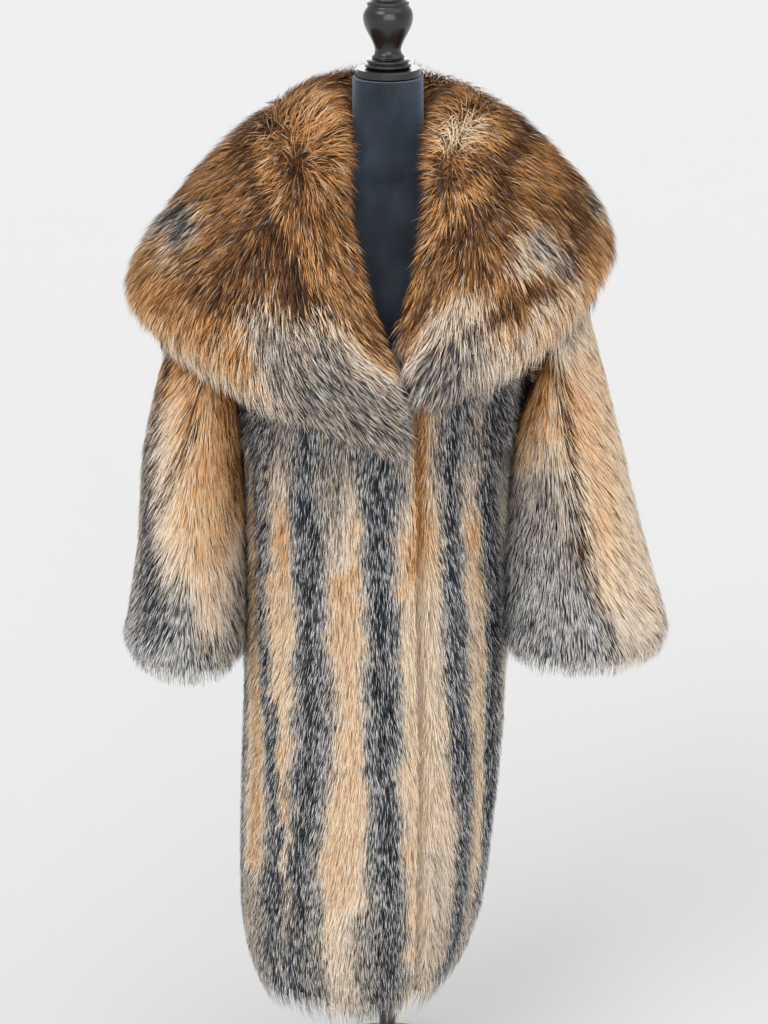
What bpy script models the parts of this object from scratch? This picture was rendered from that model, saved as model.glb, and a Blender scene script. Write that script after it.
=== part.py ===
"""A full-length fur coat with a cape collar, hanging hollow on a limbless dress form.

Metres, +Z up, front towards -Y. The origin is the centre of the base's underside, on the floor.
A coat wall is as thick as its pelt and pile together, so its outer face is where the fur ends.
The wearer's right is at -X. Angles round the coat are degrees from the front towards a side.
"""

import math

import bmesh
import bpy
import numpy as np
from mathutils import Vector
from mathutils.bvhtree import BVHTree

SEAM_GAP = 0.0003
REST_GAP = 0.0008
FORM_GAP = 0.0011
HEAD_GAP = 0.0016
LAP_GAP = 0.0020
CLEAR_GAP = 0.0030
NECK_GAP = 0.0045
COLLAR_GAP = 0.0100

RIGHT, LEFT = -1, 1

# The coat's body, from the hem (level 0) to the neckline (level 10): height at the front, side and
# back, half width, depth to the front and to the back, sideways lean, depth of the folds, and the
# angle of the right front's edge: past the middle of the front, then up along the neckline.
BODY_COLUMNS = ("front_z", "side_z", "back_z", "half_width", "front", "back", "lean", "fold", "edge")
BODY_LEVELS = (
    (0.272, 0.280, 0.276, 0.160, 0.172, 0.170, -0.047, 0.0050, -31.0),
    (0.345, 0.350, 0.348, 0.177, 0.188, 0.184, -0.044, 0.0060, -30.0),
    (0.500, 0.500, 0.500, 0.184, 0.190, 0.186, -0.035, 0.0060, -26.0),
    (0.700, 0.700, 0.700, 0.186, 0.184, 0.182, -0.023, 0.0045, -21.5),
    (0.900, 0.900, 0.900, 0.180, 0.176, 0.172, -0.017, 0.0025, -19.0),
    (1.080, 1.080, 1.080, 0.180, 0.172, 0.162, -0.014, 0.0010, -17.5),
    (1.200, 1.200, 1.200, 0.184, 0.168, 0.156, -0.010, 0.0000, -13.0),
    (1.270, 1.330, 1.335, 0.196, 0.158, 0.150, -0.004, 0.0000, 0.0),
    (1.370, 1.445, 1.445, 0.205, 0.120, 0.122, 0.0000, 0.0000, 26.0),
    (1.435, 1.482, 1.477, 0.135, 0.096, 0.100, 0.0000, 0.0000, 50.0),
    (1.470, 1.503, 1.497, 0.072, 0.070, 0.076, 0.0000, 0.0000, 78.0),
)
UNDERARM, BREAK, SHOULDER, NECKLINE = 6, 7, 8, 10
BODY_WALL = 0.018
BODY_CORNER = 0.03
FOLD_WAVES = ((5, 0.6, 1.0), (8, 2.0, 0.6))
ARMHOLE_ANGLE = 33.0
ARMHOLE_RADIUS, ARMHOLE_LEVEL_HEIGHT = 0.19, 0.126
SKIRT_ROWS, ARMHOLE_ROWS, YOKE_ROWS = 12, 10, 7
RIGHT_COLUMNS, LEFT_COLUMNS, BACK_COLUMNS = 14, 11, 23
# A slanted wall needs its seam opened by more than the gap itself.
SEAM_SLANT = 1.3

# The left front's underlap: how far its wall and width are cut, and where below the lapel's break it
# has sunk under the right front and has its full width.
UNDERLAP_WALL = 0.006
UNDERLAP_ANGLE = 22.0
UNDERLAP_COLUMNS = 4
LAP_STEP_ANGLE = 5.0
NECK_STRIP_ANGLE = 3.0
LAP_EDGE_ANGLE = 0.4
SINK_START, SINK_REACH = BREAK - 0.08, 0.45
WIDEN_START, WIDEN_REACH = BREAK - 0.6, 0.6

# A sleeve, from its head to its cuff: place of its outer and inner side, half depth from front to
# back, and how far forward its middle lies.
SLEEVE_COLUMNS = ("outer_x", "outer_z", "inner_x", "inner_z", "half_depth", "forward")
RIGHT_SLEEVE = (
    (0.238, 1.400, 0.206, 1.190, 0.098, 0.000),
    (0.262, 1.318, 0.200, 1.135, 0.098, 0.006),
    (0.298, 1.215, 0.198, 1.070, 0.098, 0.014),
    (0.330, 1.090, 0.197, 1.005, 0.099, 0.022),
    (0.342, 0.970, 0.196, 0.935, 0.101, 0.030),
    (0.357, 0.878, 0.196, 0.868, 0.104, 0.036),
    (0.366, 0.826, 0.197, 0.820, 0.105, 0.040),
    (0.357, 0.800, 0.206, 0.796, 0.097, 0.042),
)
LEFT_SLEEVE = (
    (0.236, 1.400, 0.200, 1.190, 0.096, 0.000),
    (0.252, 1.322, 0.180, 1.135, 0.095, 0.006),
    (0.280, 1.225, 0.168, 1.070, 0.093, 0.012),
    (0.318, 1.090, 0.164, 1.005, 0.093, 0.020),
    (0.350, 0.970, 0.162, 0.935, 0.094, 0.028),
    (0.378, 0.878, 0.161, 0.868, 0.094, 0.034),
    (0.391, 0.830, 0.162, 0.824, 0.093, 0.038),
    (0.381, 0.804, 0.171, 0.800, 0.085, 0.040),
)
SLEEVE_WALL = 0.022
HEAD_SPREAD = 0.002
SLEEVE_SIDES = 28
SLEEVE_ROWS = 13

# Half of the collar, station by station from its front end to the middle of the back: the angle and
# level of its seam on the neckline, the angles of its inner side and of its outer edge, and its
# profile as radius and height at the inner side, crest, fall, bulge and edge.
COLLAR_COLUMNS = (
    "seam_angle", "seam_level", "inner_angle", "edge_angle",
    "inner_r", "inner_z", "crest_r", "crest_z", "fall_r", "fall_z",
    "bulge_r", "bulge_z", "edge_r", "edge_z",
)
RIGHT_COLLAR = (
    (6.0, 7.3, 3.5, -9.0, 0.164, 1.306, 0.184, 1.298, 0.214, 1.245, 0.228, 1.178, 0.222, 1.128),
    (13.5, 7.5, 13.0, 22.0, 0.142, 1.373, 0.160, 1.376, 0.208, 1.308, 0.240, 1.228, 0.230, 1.170),
    (26.0, 8.0, 25.0, 40.0, 0.112, 1.428, 0.135, 1.440, 0.205, 1.368, 0.264, 1.258, 0.252, 1.191),
    (50.0, 9.0, 40.0, 56.0, 0.078, 1.498, 0.104, 1.520, 0.198, 1.440, 0.298, 1.303, 0.272, 1.213),
    (78.0, 10.0, 66.0, 74.0, 0.055, 1.534, 0.098, 1.562, 0.205, 1.486, 0.330, 1.326, 0.290, 1.231),
    (92.0, 10.0, 92.0, 93.0, 0.055, 1.538, 0.104, 1.568, 0.225, 1.488, 0.341, 1.333, 0.298, 1.240),
    (125.0, 10.0, 125.0, 122.0, 0.055, 1.540, 0.108, 1.570, 0.212, 1.483, 0.302, 1.323, 0.275, 1.216),
    (153.0, 10.0, 153.0, 151.0, 0.062, 1.540, 0.110, 1.571, 0.192, 1.468, 0.254, 1.298, 0.236, 1.180),
    (180.0, 10.0, 180.0, 180.0, 0.064, 1.540, 0.112, 1.572, 0.182, 1.456, 0.232, 1.288, 0.218, 1.160),
)
LEFT_COLLAR = (
    (6.0, 7.3, 3.0, 10.0, 0.164, 1.306, 0.182, 1.298, 0.208, 1.264, 0.221, 1.228, 0.216, 1.202),
    (13.5, 7.5, 13.0, 24.0, 0.142, 1.373, 0.160, 1.376, 0.205, 1.318, 0.234, 1.260, 0.226, 1.216),
    (26.0, 8.0, 25.0, 41.0, 0.112, 1.428, 0.135, 1.438, 0.202, 1.376, 0.250, 1.290, 0.238, 1.232),
    (50.0, 9.0, 40.0, 56.0, 0.078, 1.496, 0.104, 1.512, 0.196, 1.444, 0.272, 1.336, 0.253, 1.256),
    (78.0, 10.0, 66.0, 74.0, 0.055, 1.526, 0.098, 1.552, 0.198, 1.484, 0.286, 1.368, 0.262, 1.282),
    (92.0, 10.0, 92.0, 93.0, 0.055, 1.530, 0.104, 1.562, 0.212, 1.494, 0.294, 1.382, 0.264, 1.292),
    (125.0, 10.0, 125.0, 122.0, 0.055, 1.536, 0.108, 1.567, 0.206, 1.490, 0.280, 1.356, 0.256, 1.252),
    (153.0, 10.0, 153.0, 151.0, 0.062, 1.540, 0.110, 1.571, 0.190, 1.468, 0.250, 1.310, 0.234, 1.196),
    (180.0, 10.0, 180.0, 180.0, 0.064, 1.540, 0.112, 1.572, 0.182, 1.456, 0.232, 1.288, 0.218, 1.160),
)
COLLAR_WALLS = (0.018, 0.020, 0.030, 0.040, 0.042, 0.022)
COLLAR_LEAST_WALL = 0.014
LIFT_REACH = 0.08
COLLAR_SEAM_WALL = 0.010
BACK_SEAM_ANGLE = 98.0
FREE_PLACE = 1.4
FRONT_END_SHARE, FRONT_END_COLUMNS = 0.5, 5
COLLAR_COLUMNS_BUILT, COLLAR_ROWS_BUILT = 21, 13
# Levels nearer to the neckline than this belong to its top edge and not to the fronts.
NECKLINE_END = 0.11
EDGE_TURN_LEVELS = 0.5

# The dress form below its shoulders: height, half width, depth to the front and to the back.
FORM_LEVELS = (
    (0.800, 0.118, 0.090, 0.094),
    (0.880, 0.136, 0.106, 0.116),
    (0.960, 0.126, 0.100, 0.104),
    (1.060, 0.108, 0.092, 0.088),
    (1.170, 0.130, 0.110, 0.096),
    (1.260, 0.146, 0.120, 0.102),
    (1.340, 0.154, 0.108, 0.106),
)
FORM_SHOULDER_LEVELS = (8.45, 8.8, 9.15)
FORM_NECK = ((1.484, 0.0500), (1.515, 0.0462), (1.5785, 0.0450))
FORM_NECK_START = 1.46
FORM_SIDES, FORM_ROWS = 32, 23
FORM_BOTTOM_RADII = (0.35, 0.75)
LINING_COLUMNS, LINING_ROWS = 73, 41

NECK_CAP_PROFILE = ((0.0400, 0.0000), (0.0424, 0.0022), (0.0424, 0.0088), (0.0404, 0.0108))
NECK_CAP_BOTTOM = 1.5788
FINIAL_BOTTOM = 1.5899
# The turned finial from its foot up: radius and height over the neck cap.
FINIAL_PROFILE = (
    (0.0270, 0.0000), (0.0293, 0.0018), (0.0293, 0.0046), (0.0262, 0.0062),
    (0.0270, 0.0082), (0.0262, 0.0104), (0.0205, 0.0120), (0.0214, 0.0140),
    (0.0196, 0.0160), (0.0172, 0.0190), (0.0168, 0.0240), (0.0200, 0.0330),
    (0.0258, 0.0440), (0.0302, 0.0540), (0.0316, 0.0630), (0.0300, 0.0715),
    (0.0262, 0.0770), (0.0266, 0.0790), (0.0266, 0.0815), (0.0235, 0.0835),
    (0.0205, 0.0860), (0.0215, 0.0930), (0.0190, 0.1010), (0.0120, 0.1080),
    (0.0045, 0.1108),
)
TURNED_SIDES = 28

POLE_RADIUS, POLE_BOTTOM, POLE_TOP = 0.0125, 0.0443, 0.7997
BASE_PROFILE = ((0.1430, 0.0000), (0.1450, 0.0030), (0.1450, 0.0140), (0.1400, 0.0180), (0.0300, 0.0220))
SOCKET_PROFILE = ((0.0270, 0.0223), (0.0270, 0.0300), (0.0190, 0.0380), (0.0170, 0.0440))

FUR_COLOR, FUR_ROUGHNESS = (0.34, 0.20, 0.11), 0.8
VELVET_COLOR, VELVET_ROUGHNESS = (0.010, 0.011, 0.014), 0.9
PAINT_COLOR, PAINT_ROUGHNESS = (0.008, 0.008, 0.009), 0.3
SHARP_ANGLE = math.radians(50)
# A point is beside a skin's edge, not above the skin, where it lies flatter than this share.
BESIDE_SHARE = 0.8


def along(rows, place):
    """The values at place on a smooth curve through rows, which lie at 0, 1, 2 and so on."""
    rows = np.asarray(rows, float)
    last = len(rows) - 1
    first = min(max(int(place), 0), last - 1)
    part = place - first
    start, end = rows[first], rows[first + 1]
    start_slope = (end - rows[max(first - 1, 0)]) / 2
    end_slope = (rows[min(first + 2, last)] - start) / 2
    return (
        start * (1 - part) ** 2 * (1 + 2 * part)
        + start_slope * part * (1 - part) ** 2
        + end * part**2 * (3 - 2 * part)
        - end_slope * part**2 * (1 - part)
    )


def eased(part):
    part = min(max(part, 0.0), 1.0)
    return part * part * (3 - 2 * part)


def unit(vector):
    return vector / np.linalg.norm(vector)


def body_row(level):
    return dict(zip(BODY_COLUMNS, along(BODY_LEVELS, level)))


def body_surface(side, angle, level):
    """A point on the coat's outer face. Angles past 180 go on round to the other side."""
    row = body_row(level)
    turn = math.radians(angle)
    across, ahead = math.sin(turn), math.cos(turn)
    if ahead > 0:
        deep, end_z = row["front"], row["front_z"]
    else:
        deep, end_z = row["back"], row["back_z"]
    fold = row["fold"] * sum(
        share * math.sin(count * side * turn + start) for count, start, share in FOLD_WAVES
    )
    corner = 1 + BODY_CORNER * math.sin(2 * turn) ** 2
    return np.array((
        row["lean"] + side * across * (row["half_width"] * corner + fold),
        -ahead * (deep * corner + fold),
        row["side_z"] + (end_z - row["side_z"]) * ahead**2,
    ))


def body_point(side, angle, level, depth=0.0):
    """A point at a depth under the coat's outer face, or above it where depth is negative."""
    tilt, rise = 0.5, 0.02
    point = body_surface(side, angle, level)
    if depth == 0.0:
        return point
    level = min(level, NECKLINE - rise)
    level = max(level, rise)
    round_way = body_surface(side, angle + tilt, level) - body_surface(side, angle - tilt, level)
    up_way = body_surface(side, angle, level + rise) - body_surface(side, angle, level - rise)
    return point - depth * unit(np.cross(round_way, up_way)) * side


def armhole(level):
    """Half the angle that the armhole takes at a level, none above or below it."""
    middle = (UNDERARM + SHOULDER) / 2
    reach = (SHOULDER - UNDERARM) / 2
    return ARMHOLE_ANGLE * math.sqrt(max(0.0, 1 - ((level - middle) / reach) ** 2))


def seam_angle(level):
    """Half of the seam gap, as an angle."""
    return math.degrees(SEAM_GAP / 2 / body_row(level)["half_width"]) * SEAM_SLANT


def panel_levels():
    skirt = np.linspace(0, UNDERARM, SKIRT_ROWS)
    turns = np.linspace(0, math.pi, ARMHOLE_ROWS)[1:-1]
    middle = (UNDERARM + SHOULDER) / 2
    arm = middle - (SHOULDER - UNDERARM) / 2 * np.cos(turns)
    top = np.linspace(SHOULDER, NECKLINE, YOKE_ROWS)
    return [*skirt, *arm, *top]


def material(name, color, roughness):
    made = bpy.data.materials.new(name)
    made.use_nodes = True
    shader = made.node_tree.nodes["Principled BSDF"]
    shader.inputs["Base Color"].default_value = (*color, 1.0)
    shader.inputs["Roughness"].default_value = roughness
    shader.inputs["Metallic"].default_value = 0.0
    return made


def finish(name, mesh, color, roughness):
    """Turn a bmesh into a named, smooth-shaded object with its own material."""
    bmesh.ops.recalc_face_normals(mesh, faces=mesh.faces)
    if mesh.calc_volume(signed=True) < 0:
        bmesh.ops.reverse_faces(mesh, faces=mesh.faces)
    data = bpy.data.meshes.new(name)
    mesh.to_mesh(data)
    mesh.free()
    data.shade_smooth()
    data.set_sharp_from_angle(angle=SHARP_ANGLE)
    data.materials.append(material(name, color, roughness))
    made = bpy.data.objects.new(name, data)
    bpy.context.scene.collection.objects.link(made)
    return made


def wall(name, piece):
    """The solid between a piece's outer and inner grid of points, which are of the same size."""
    outer, inner, closed = piece
    mesh = bmesh.new()
    skins = [[[mesh.verts.new(point) for point in row] for row in grid] for grid in (outer, inner)]
    rows, columns = len(outer), len(outer[0])
    steps = range(columns if closed else columns - 1)
    for skin in skins:
        for r in range(rows - 1):
            for c in steps:
                d = (c + 1) % columns
                mesh.faces.new((skin[r][c], skin[r][d], skin[r + 1][d], skin[r + 1][c]))
    for r in (0, rows - 1):
        for c in steps:
            d = (c + 1) % columns
            mesh.faces.new((skins[0][r][c], skins[0][r][d], skins[1][r][d], skins[1][r][c]))
    if not closed:
        for c in (0, columns - 1):
            for r in range(rows - 1):
                mesh.faces.new((skins[0][r][c], skins[0][r + 1][c], skins[1][r + 1][c], skins[1][r][c]))
    return finish(name, mesh, FUR_COLOR, FUR_ROUGHNESS)


def skinned(name, rings, color, roughness):
    """A closed solid through rings of points, capped at both ends."""
    mesh = bmesh.new()
    rows = [[mesh.verts.new(point) for point in ring] for ring in rings]
    for low, high in zip(rows, rows[1:]):
        for c in range(len(low)):
            d = (c + 1) % len(low)
            mesh.faces.new((low[c], low[d], high[d], high[c]))
    mesh.faces.new(rows[0])
    mesh.faces.new(rows[-1])
    return finish(name, mesh, color, roughness)


def turned(name, profile, bottom):
    """A black solid turned round the Z axis from radius and height pairs."""
    rings = []
    for radius, height in profile:
        turns = [2 * math.pi * k / TURNED_SIDES for k in range(TURNED_SIDES)]
        rings.append([(radius * math.cos(a), radius * math.sin(a), bottom + height) for a in turns])
    return skinned(name, rings, PAINT_COLOR, PAINT_ROUGHNESS)


def skin_tree(pieces):
    """A search tree over the outer grids of some pieces, with every face turned outwards."""
    points, faces = [], []
    for outer, inner, closed in pieces:
        first, rows, columns = len(points), len(outer), len(outer[0])
        points += [Vector(point) for row in outer for point in row]
        for r in range(rows - 1):
            for c in range(columns if closed else columns - 1):
                d = (c + 1) % columns
                corners = [(r, c), (r, d), (r + 1, d), (r + 1, c)]
                places = [outer[i][j] for i, j in corners]
                normal = np.cross(places[2] - places[0], places[3] - places[1])
                if normal.dot(outer[r][c] - inner[r][c]) < 0:
                    corners.reverse()
                quad = [first + i * columns + j for i, j in corners]
                faces += [(quad[0], quad[1], quad[2]), (quad[0], quad[2], quad[3])]
    return BVHTree.FromPolygons(points, faces)


def kept_clear(point, tree, gap):
    """The point, or the nearest place that lies a gap above the tree's skins or off their edges."""
    place, normal, _, distance = tree.find_nearest(Vector(point))
    away = Vector(point) - place
    height = away.dot(normal)
    beside = distance > 0 and abs(height) < BESIDE_SHARE * distance
    if beside and distance < gap:
        return np.array(place + away * (gap / distance))
    if not beside and height < gap:
        return np.array(place + normal * gap)
    return point


def lifted(point, out, tree, gap):
    """The point, or the place a gap above the outermost skin on the line through it along out."""
    start = Vector(point + out * LIFT_REACH)
    place, _, _, _ = tree.ray_cast(start, Vector(-out), LIFT_REACH + gap)
    return point if place is None else np.array(place) + out * gap


def make_right_front():
    """The front that laps over, with the neckline as its upper inner edge."""
    outer, inner = [], []
    for level in panel_levels():
        first = body_row(level)["edge"]
        last = 90 - armhole(level) - seam_angle(level)
        angles = np.linspace(first, last, RIGHT_COLUMNS)
        outer.append([body_point(RIGHT, angle, level) for angle in angles])
        inner.append([body_point(RIGHT, angle, level, BODY_WALL) for angle in angles])
    return outer, inner, False


def make_left_front():
    """The front beneath, whose flattened underlap steps in under the right front's edge."""
    outer, inner = [], []
    for level in panel_levels():
        last = 90 - armhole(level) - seam_angle(level)
        under = eased((SINK_START - level) / SINK_REACH)
        slid = eased((WIDEN_START - level) / WIDEN_REACH)
        strip = NECK_STRIP_ANGLE + (UNDERLAP_ANGLE - NECK_STRIP_ANGLE) * slid
        edge = abs(body_row(level)["edge"]) + LAP_EDGE_ANGLE + NECK_STRIP_ANGLE * (1 - slid)
        hidden = np.linspace(edge - strip, edge, UNDERLAP_COLUMNS)
        shown = np.linspace(edge + min(LAP_STEP_ANGLE, (last - edge) / 4), last, LEFT_COLUMNS)
        sunk = (BODY_WALL + LAP_GAP) * under
        thin = BODY_WALL - (BODY_WALL - UNDERLAP_WALL) * under
        outer.append(
            [body_point(LEFT, angle, level, sunk) for angle in hidden]
            + [body_point(LEFT, angle, level) for angle in shown]
        )
        inner.append(
            [body_point(LEFT, angle, level, sunk + thin) for angle in hidden]
            + [body_point(LEFT, angle, level, BODY_WALL) for angle in shown]
        )
    return outer, inner, False


def make_back():
    outer, inner = [], []
    for level in panel_levels():
        first = 90 + armhole(level) + seam_angle(level)
        angles = np.linspace(first, 360 - first, BACK_COLUMNS)
        outer.append([body_point(LEFT, angle, level) for angle in angles])
        inner.append([body_point(LEFT, angle, level, BODY_WALL) for angle in angles])
    return outer, inner, False


def armhole_ring(side, spread):
    """Points round the armhole just above the coat's body, spread beyond the armhole's edge."""
    middle = (UNDERARM + SHOULDER) / 2
    level_reach = (SHOULDER - UNDERARM) / 2 + spread / ARMHOLE_LEVEL_HEIGHT
    angle_reach = ARMHOLE_ANGLE + math.degrees(spread / ARMHOLE_RADIUS)
    ring = []
    for k in range(SLEEVE_SIDES):
        turn = 2 * math.pi * k / SLEEVE_SIDES
        angle = 90 - angle_reach * math.sin(turn)
        level = middle + level_reach * math.cos(turn)
        ring.append(body_point(side, angle, level, -HEAD_GAP))
    return ring


def sleeve_ring(side, row):
    """The middle of the sleeve, and a ring of points on it between its outer and inner side."""
    values = dict(zip(SLEEVE_COLUMNS, row))
    outer = np.array((side * values["outer_x"], -values["forward"], values["outer_z"]))
    inner = np.array((side * values["inner_x"], -values["forward"], values["inner_z"]))
    middle, reach = (outer + inner) / 2, (outer - inner) / 2
    deep = np.array((0, values["half_depth"], 0))
    turns = [2 * math.pi * k / SLEEVE_SIDES for k in range(SLEEVE_SIDES)]
    return middle, [middle + reach * math.cos(turn) - deep * math.sin(turn) for turn in turns]


def make_sleeve(side, table, body):
    """A sleeve from the armhole down to its cuff, lying against the coat's body."""
    outer = [armhole_ring(side, HEAD_SPREAD + SLEEVE_WALL)]
    inner = [armhole_ring(side, HEAD_SPREAD)]
    for place in np.linspace(0, len(table) - 1, SLEEVE_ROWS):
        middle, ring = sleeve_ring(side, along(table, place))
        outer.append([kept_clear(point, body, CLEAR_GAP) for point in ring])
        inner.append([point + unit(middle - point) * SLEEVE_WALL for point in outer[-1]])
    return outer, inner, True


def off_neckline(side, angle, level):
    """The direction off the edge of the coat's neckline: up at its top, square to it on the fronts."""
    near_levels, far_levels, inland_angle = 0.1, 0.25, 3
    surface = body_surface(side, angle, level)
    up_way = unit(surface - body_surface(side, angle, level - far_levels))
    if level >= NECKLINE:
        return up_way
    ends = [
        body_surface(side, body_row(near)["edge"], near)
        for near in (level - near_levels, level + near_levels)
    ]
    off = unit(np.cross(ends[1] - ends[0], surface - body_point(side, angle, level, BODY_WALL)))
    inland = body_surface(side, angle + inland_angle, level - far_levels)
    off = off if off.dot(surface - inland) > 0 else -off
    return unit(off + up_way * eased(1 + (level - NECKLINE) / EDGE_TURN_LEVELS))


def collar_profile(side, station):
    """Control points of the collar's outer face, from the neck seam to the edge, and its seam's far side."""
    row = dict(zip(COLLAR_COLUMNS, station))
    level = row["seam_level"] if row["seam_level"] < NECKLINE - NECKLINE_END else NECKLINE
    angle = body_row(level)["edge"] if level < NECKLINE else row["seam_angle"]
    gap = REST_GAP if angle > BACK_SEAM_ANGLE else NECK_GAP
    away = off_neckline(side, angle, level) * gap
    points = [body_point(side, angle, level, COLLAR_SEAM_WALL) + away]
    parts = ("inner", "crest", "fall", "bulge", "edge")
    for k, part in enumerate(parts):
        share = eased(k / (len(parts) - 1))
        turn = math.radians(row["inner_angle"] + (row["edge_angle"] - row["inner_angle"]) * share)
        radius = row[part + "_r"]
        points.append(np.array((side * radius * math.sin(turn), -radius * math.cos(turn), row[part + "_z"])))
    return points, body_point(side, angle, level) + away


def make_collar(side, table, under):
    """Half of the collar: it stands up from the neck seam, rolls over and falls like a cape."""
    profiles = [
        collar_profile(side, along(table, place))
        for place in np.linspace(0, len(table) - 1, COLLAR_COLUMNS_BUILT)
    ]
    places = np.linspace(0, len(COLLAR_WALLS) - 1, COLLAR_ROWS_BUILT)
    outer = [[along(points, place) for place in places] for points, _ in profiles]
    walls = [[wall] for wall in COLLAR_WALLS]
    last_column, last_row = len(outer) - 1, len(places) - 1
    top, below = [], []
    for c, column in enumerate(outer):
        after, before = outer[min(c + 1, last_column)], outer[max(c - 1, 0)]
        top.append([column[0]])
        below.append([profiles[c][1]])
        thickness = FRONT_END_SHARE + (1 - FRONT_END_SHARE) * eased(c / FRONT_END_COLUMNS)
        for r in range(1, len(places)):
            down = column[min(r + 1, last_row)] - column[r - 1]
            out = unit(np.cross(after[r] - before[r], down)) * -side
            depth = along(walls, places[r]) * thickness
            point, under_point = column[r], column[r] - out * depth
            if places[r] > FREE_PLACE:
                point = lifted(point, out, under, COLLAR_GAP + COLLAR_LEAST_WALL)
                under_point = lifted(under_point, out, under, COLLAR_GAP)
            top[-1].append(point)
            below[-1].append(under_point)
    for grid in (top, below):
        for point in grid[-1]:
            point[0] = side * SEAM_GAP / 2
    return top, below, False


def form_ring(z, half_width, front, back):
    ring = []
    for k in range(FORM_SIDES):
        turn = 2 * math.pi * k / FORM_SIDES
        ahead = math.cos(turn)
        corner = 1 + BODY_CORNER * math.sin(2 * turn) ** 2
        deep = front if ahead > 0 else back
        ring.append(np.array((half_width * corner * math.sin(turn), -deep * corner * ahead, z)))
    return ring


def make_form():
    """The padded torso and neck. Its shoulders carry the coat, a rest gap below the coat's inside."""
    rings = [form_ring(*row) for row in FORM_LEVELS]
    for level in FORM_SHOULDER_LEVELS:
        angles = [360 * k / FORM_SIDES for k in range(FORM_SIDES)]
        rings.append([body_point(LEFT, angle, level, BODY_WALL) for angle in angles])
    for z, radius in FORM_NECK:
        rings.append(form_ring(z, radius, radius, radius))
    angles = np.linspace(0, 360, LINING_COLUMNS)
    levels = np.linspace(0, NECKLINE, LINING_ROWS)
    coat = [
        [[body_point(LEFT, angle, level, depth) for angle in angles] for level in levels]
        for depth in (BODY_WALL, 0.0)
    ]
    inside = skin_tree([(*coat, False)])
    rows = [along(np.array(rings), place) for place in np.linspace(0, len(rings) - 1, FORM_ROWS)]
    low_rows = [row for row in rows if row[0][2] < FORM_NECK_START]
    rows = [[kept_clear(point, inside, FORM_GAP) for point in row] for row in low_rows] + rows[len(low_rows):]
    bottom_z, *bottom_reach = FORM_LEVELS[0]
    bottom = [form_ring(bottom_z, *(share * reach for reach in bottom_reach)) for share in FORM_BOTTOM_RADII]
    return skinned("dress_form", bottom + rows, VELVET_COLOR, VELVET_ROUGHNESS)


def make_stand():
    turned("neck_cap", NECK_CAP_PROFILE, NECK_CAP_BOTTOM)
    turned("finial", FINIAL_PROFILE, FINIAL_BOTTOM)
    turned("pole", ((POLE_RADIUS, POLE_BOTTOM), (POLE_RADIUS, POLE_TOP)), 0.0)
    turned("pole_socket", SOCKET_PROFILE, 0.0)
    turned("base", BASE_PROFILE, 0.0)


def main():
    for old in list(bpy.data.objects):
        bpy.data.objects.remove(old)
    body = {"front_right": make_right_front(), "front_left": make_left_front(), "back": make_back()}
    body_skin = skin_tree(body.values())
    sleeves = {
        "sleeve_right": make_sleeve(RIGHT, RIGHT_SLEEVE, body_skin),
        "sleeve_left": make_sleeve(LEFT, LEFT_SLEEVE, body_skin),
    }
    under_collar = skin_tree([*body.values(), *sleeves.values()])
    collar = {
        "collar_right": make_collar(RIGHT, RIGHT_COLLAR, under_collar),
        "collar_left": make_collar(LEFT, LEFT_COLLAR, under_collar),
    }
    for name, piece in {**body, **sleeves, **collar}.items():
        wall(name, piece)
    make_form()
    make_stand()


main()
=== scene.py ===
"""The looks of a full-length fur coat with a cape collar, hanging hollow on a limbless dress form.

Metres, +Z up, front towards -Y, the wearer's right at -X. Each piece of the coat is a thin pelt with a
coat of hairs on it. Most hairs' tips lie near the outer face of the piece's solid, and further out where
the fur swells beside a sleeve. Angles round the coat are degrees from the front towards the wearer's left.
"""

import math

import bmesh
import bpy
import numpy as np
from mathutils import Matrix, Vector
from mathutils.bvhtree import BVHTree
from mathutils.kdtree import KDTree


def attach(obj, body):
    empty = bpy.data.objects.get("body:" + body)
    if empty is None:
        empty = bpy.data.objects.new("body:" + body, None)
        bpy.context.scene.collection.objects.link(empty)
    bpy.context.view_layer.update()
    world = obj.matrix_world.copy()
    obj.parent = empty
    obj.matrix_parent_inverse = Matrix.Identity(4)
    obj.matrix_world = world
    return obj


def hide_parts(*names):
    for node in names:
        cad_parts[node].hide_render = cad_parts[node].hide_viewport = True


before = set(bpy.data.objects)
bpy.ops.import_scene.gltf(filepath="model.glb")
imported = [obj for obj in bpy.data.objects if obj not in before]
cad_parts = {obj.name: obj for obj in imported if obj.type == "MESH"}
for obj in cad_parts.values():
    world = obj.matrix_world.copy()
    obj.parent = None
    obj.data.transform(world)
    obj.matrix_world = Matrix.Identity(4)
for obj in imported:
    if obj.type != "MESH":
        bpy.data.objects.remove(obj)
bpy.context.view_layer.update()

# ---------------------------------------------------------------- the coat's form, as in its solids

SEAM_GAP = 0.0003
REST_GAP = 0.0008
HEAD_GAP = 0.0016
LAP_GAP = 0.0020
CLEAR_GAP = 0.0030
NECK_GAP = 0.0045
COLLAR_GAP = 0.0100

RIGHT, LEFT = -1, 1

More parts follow.
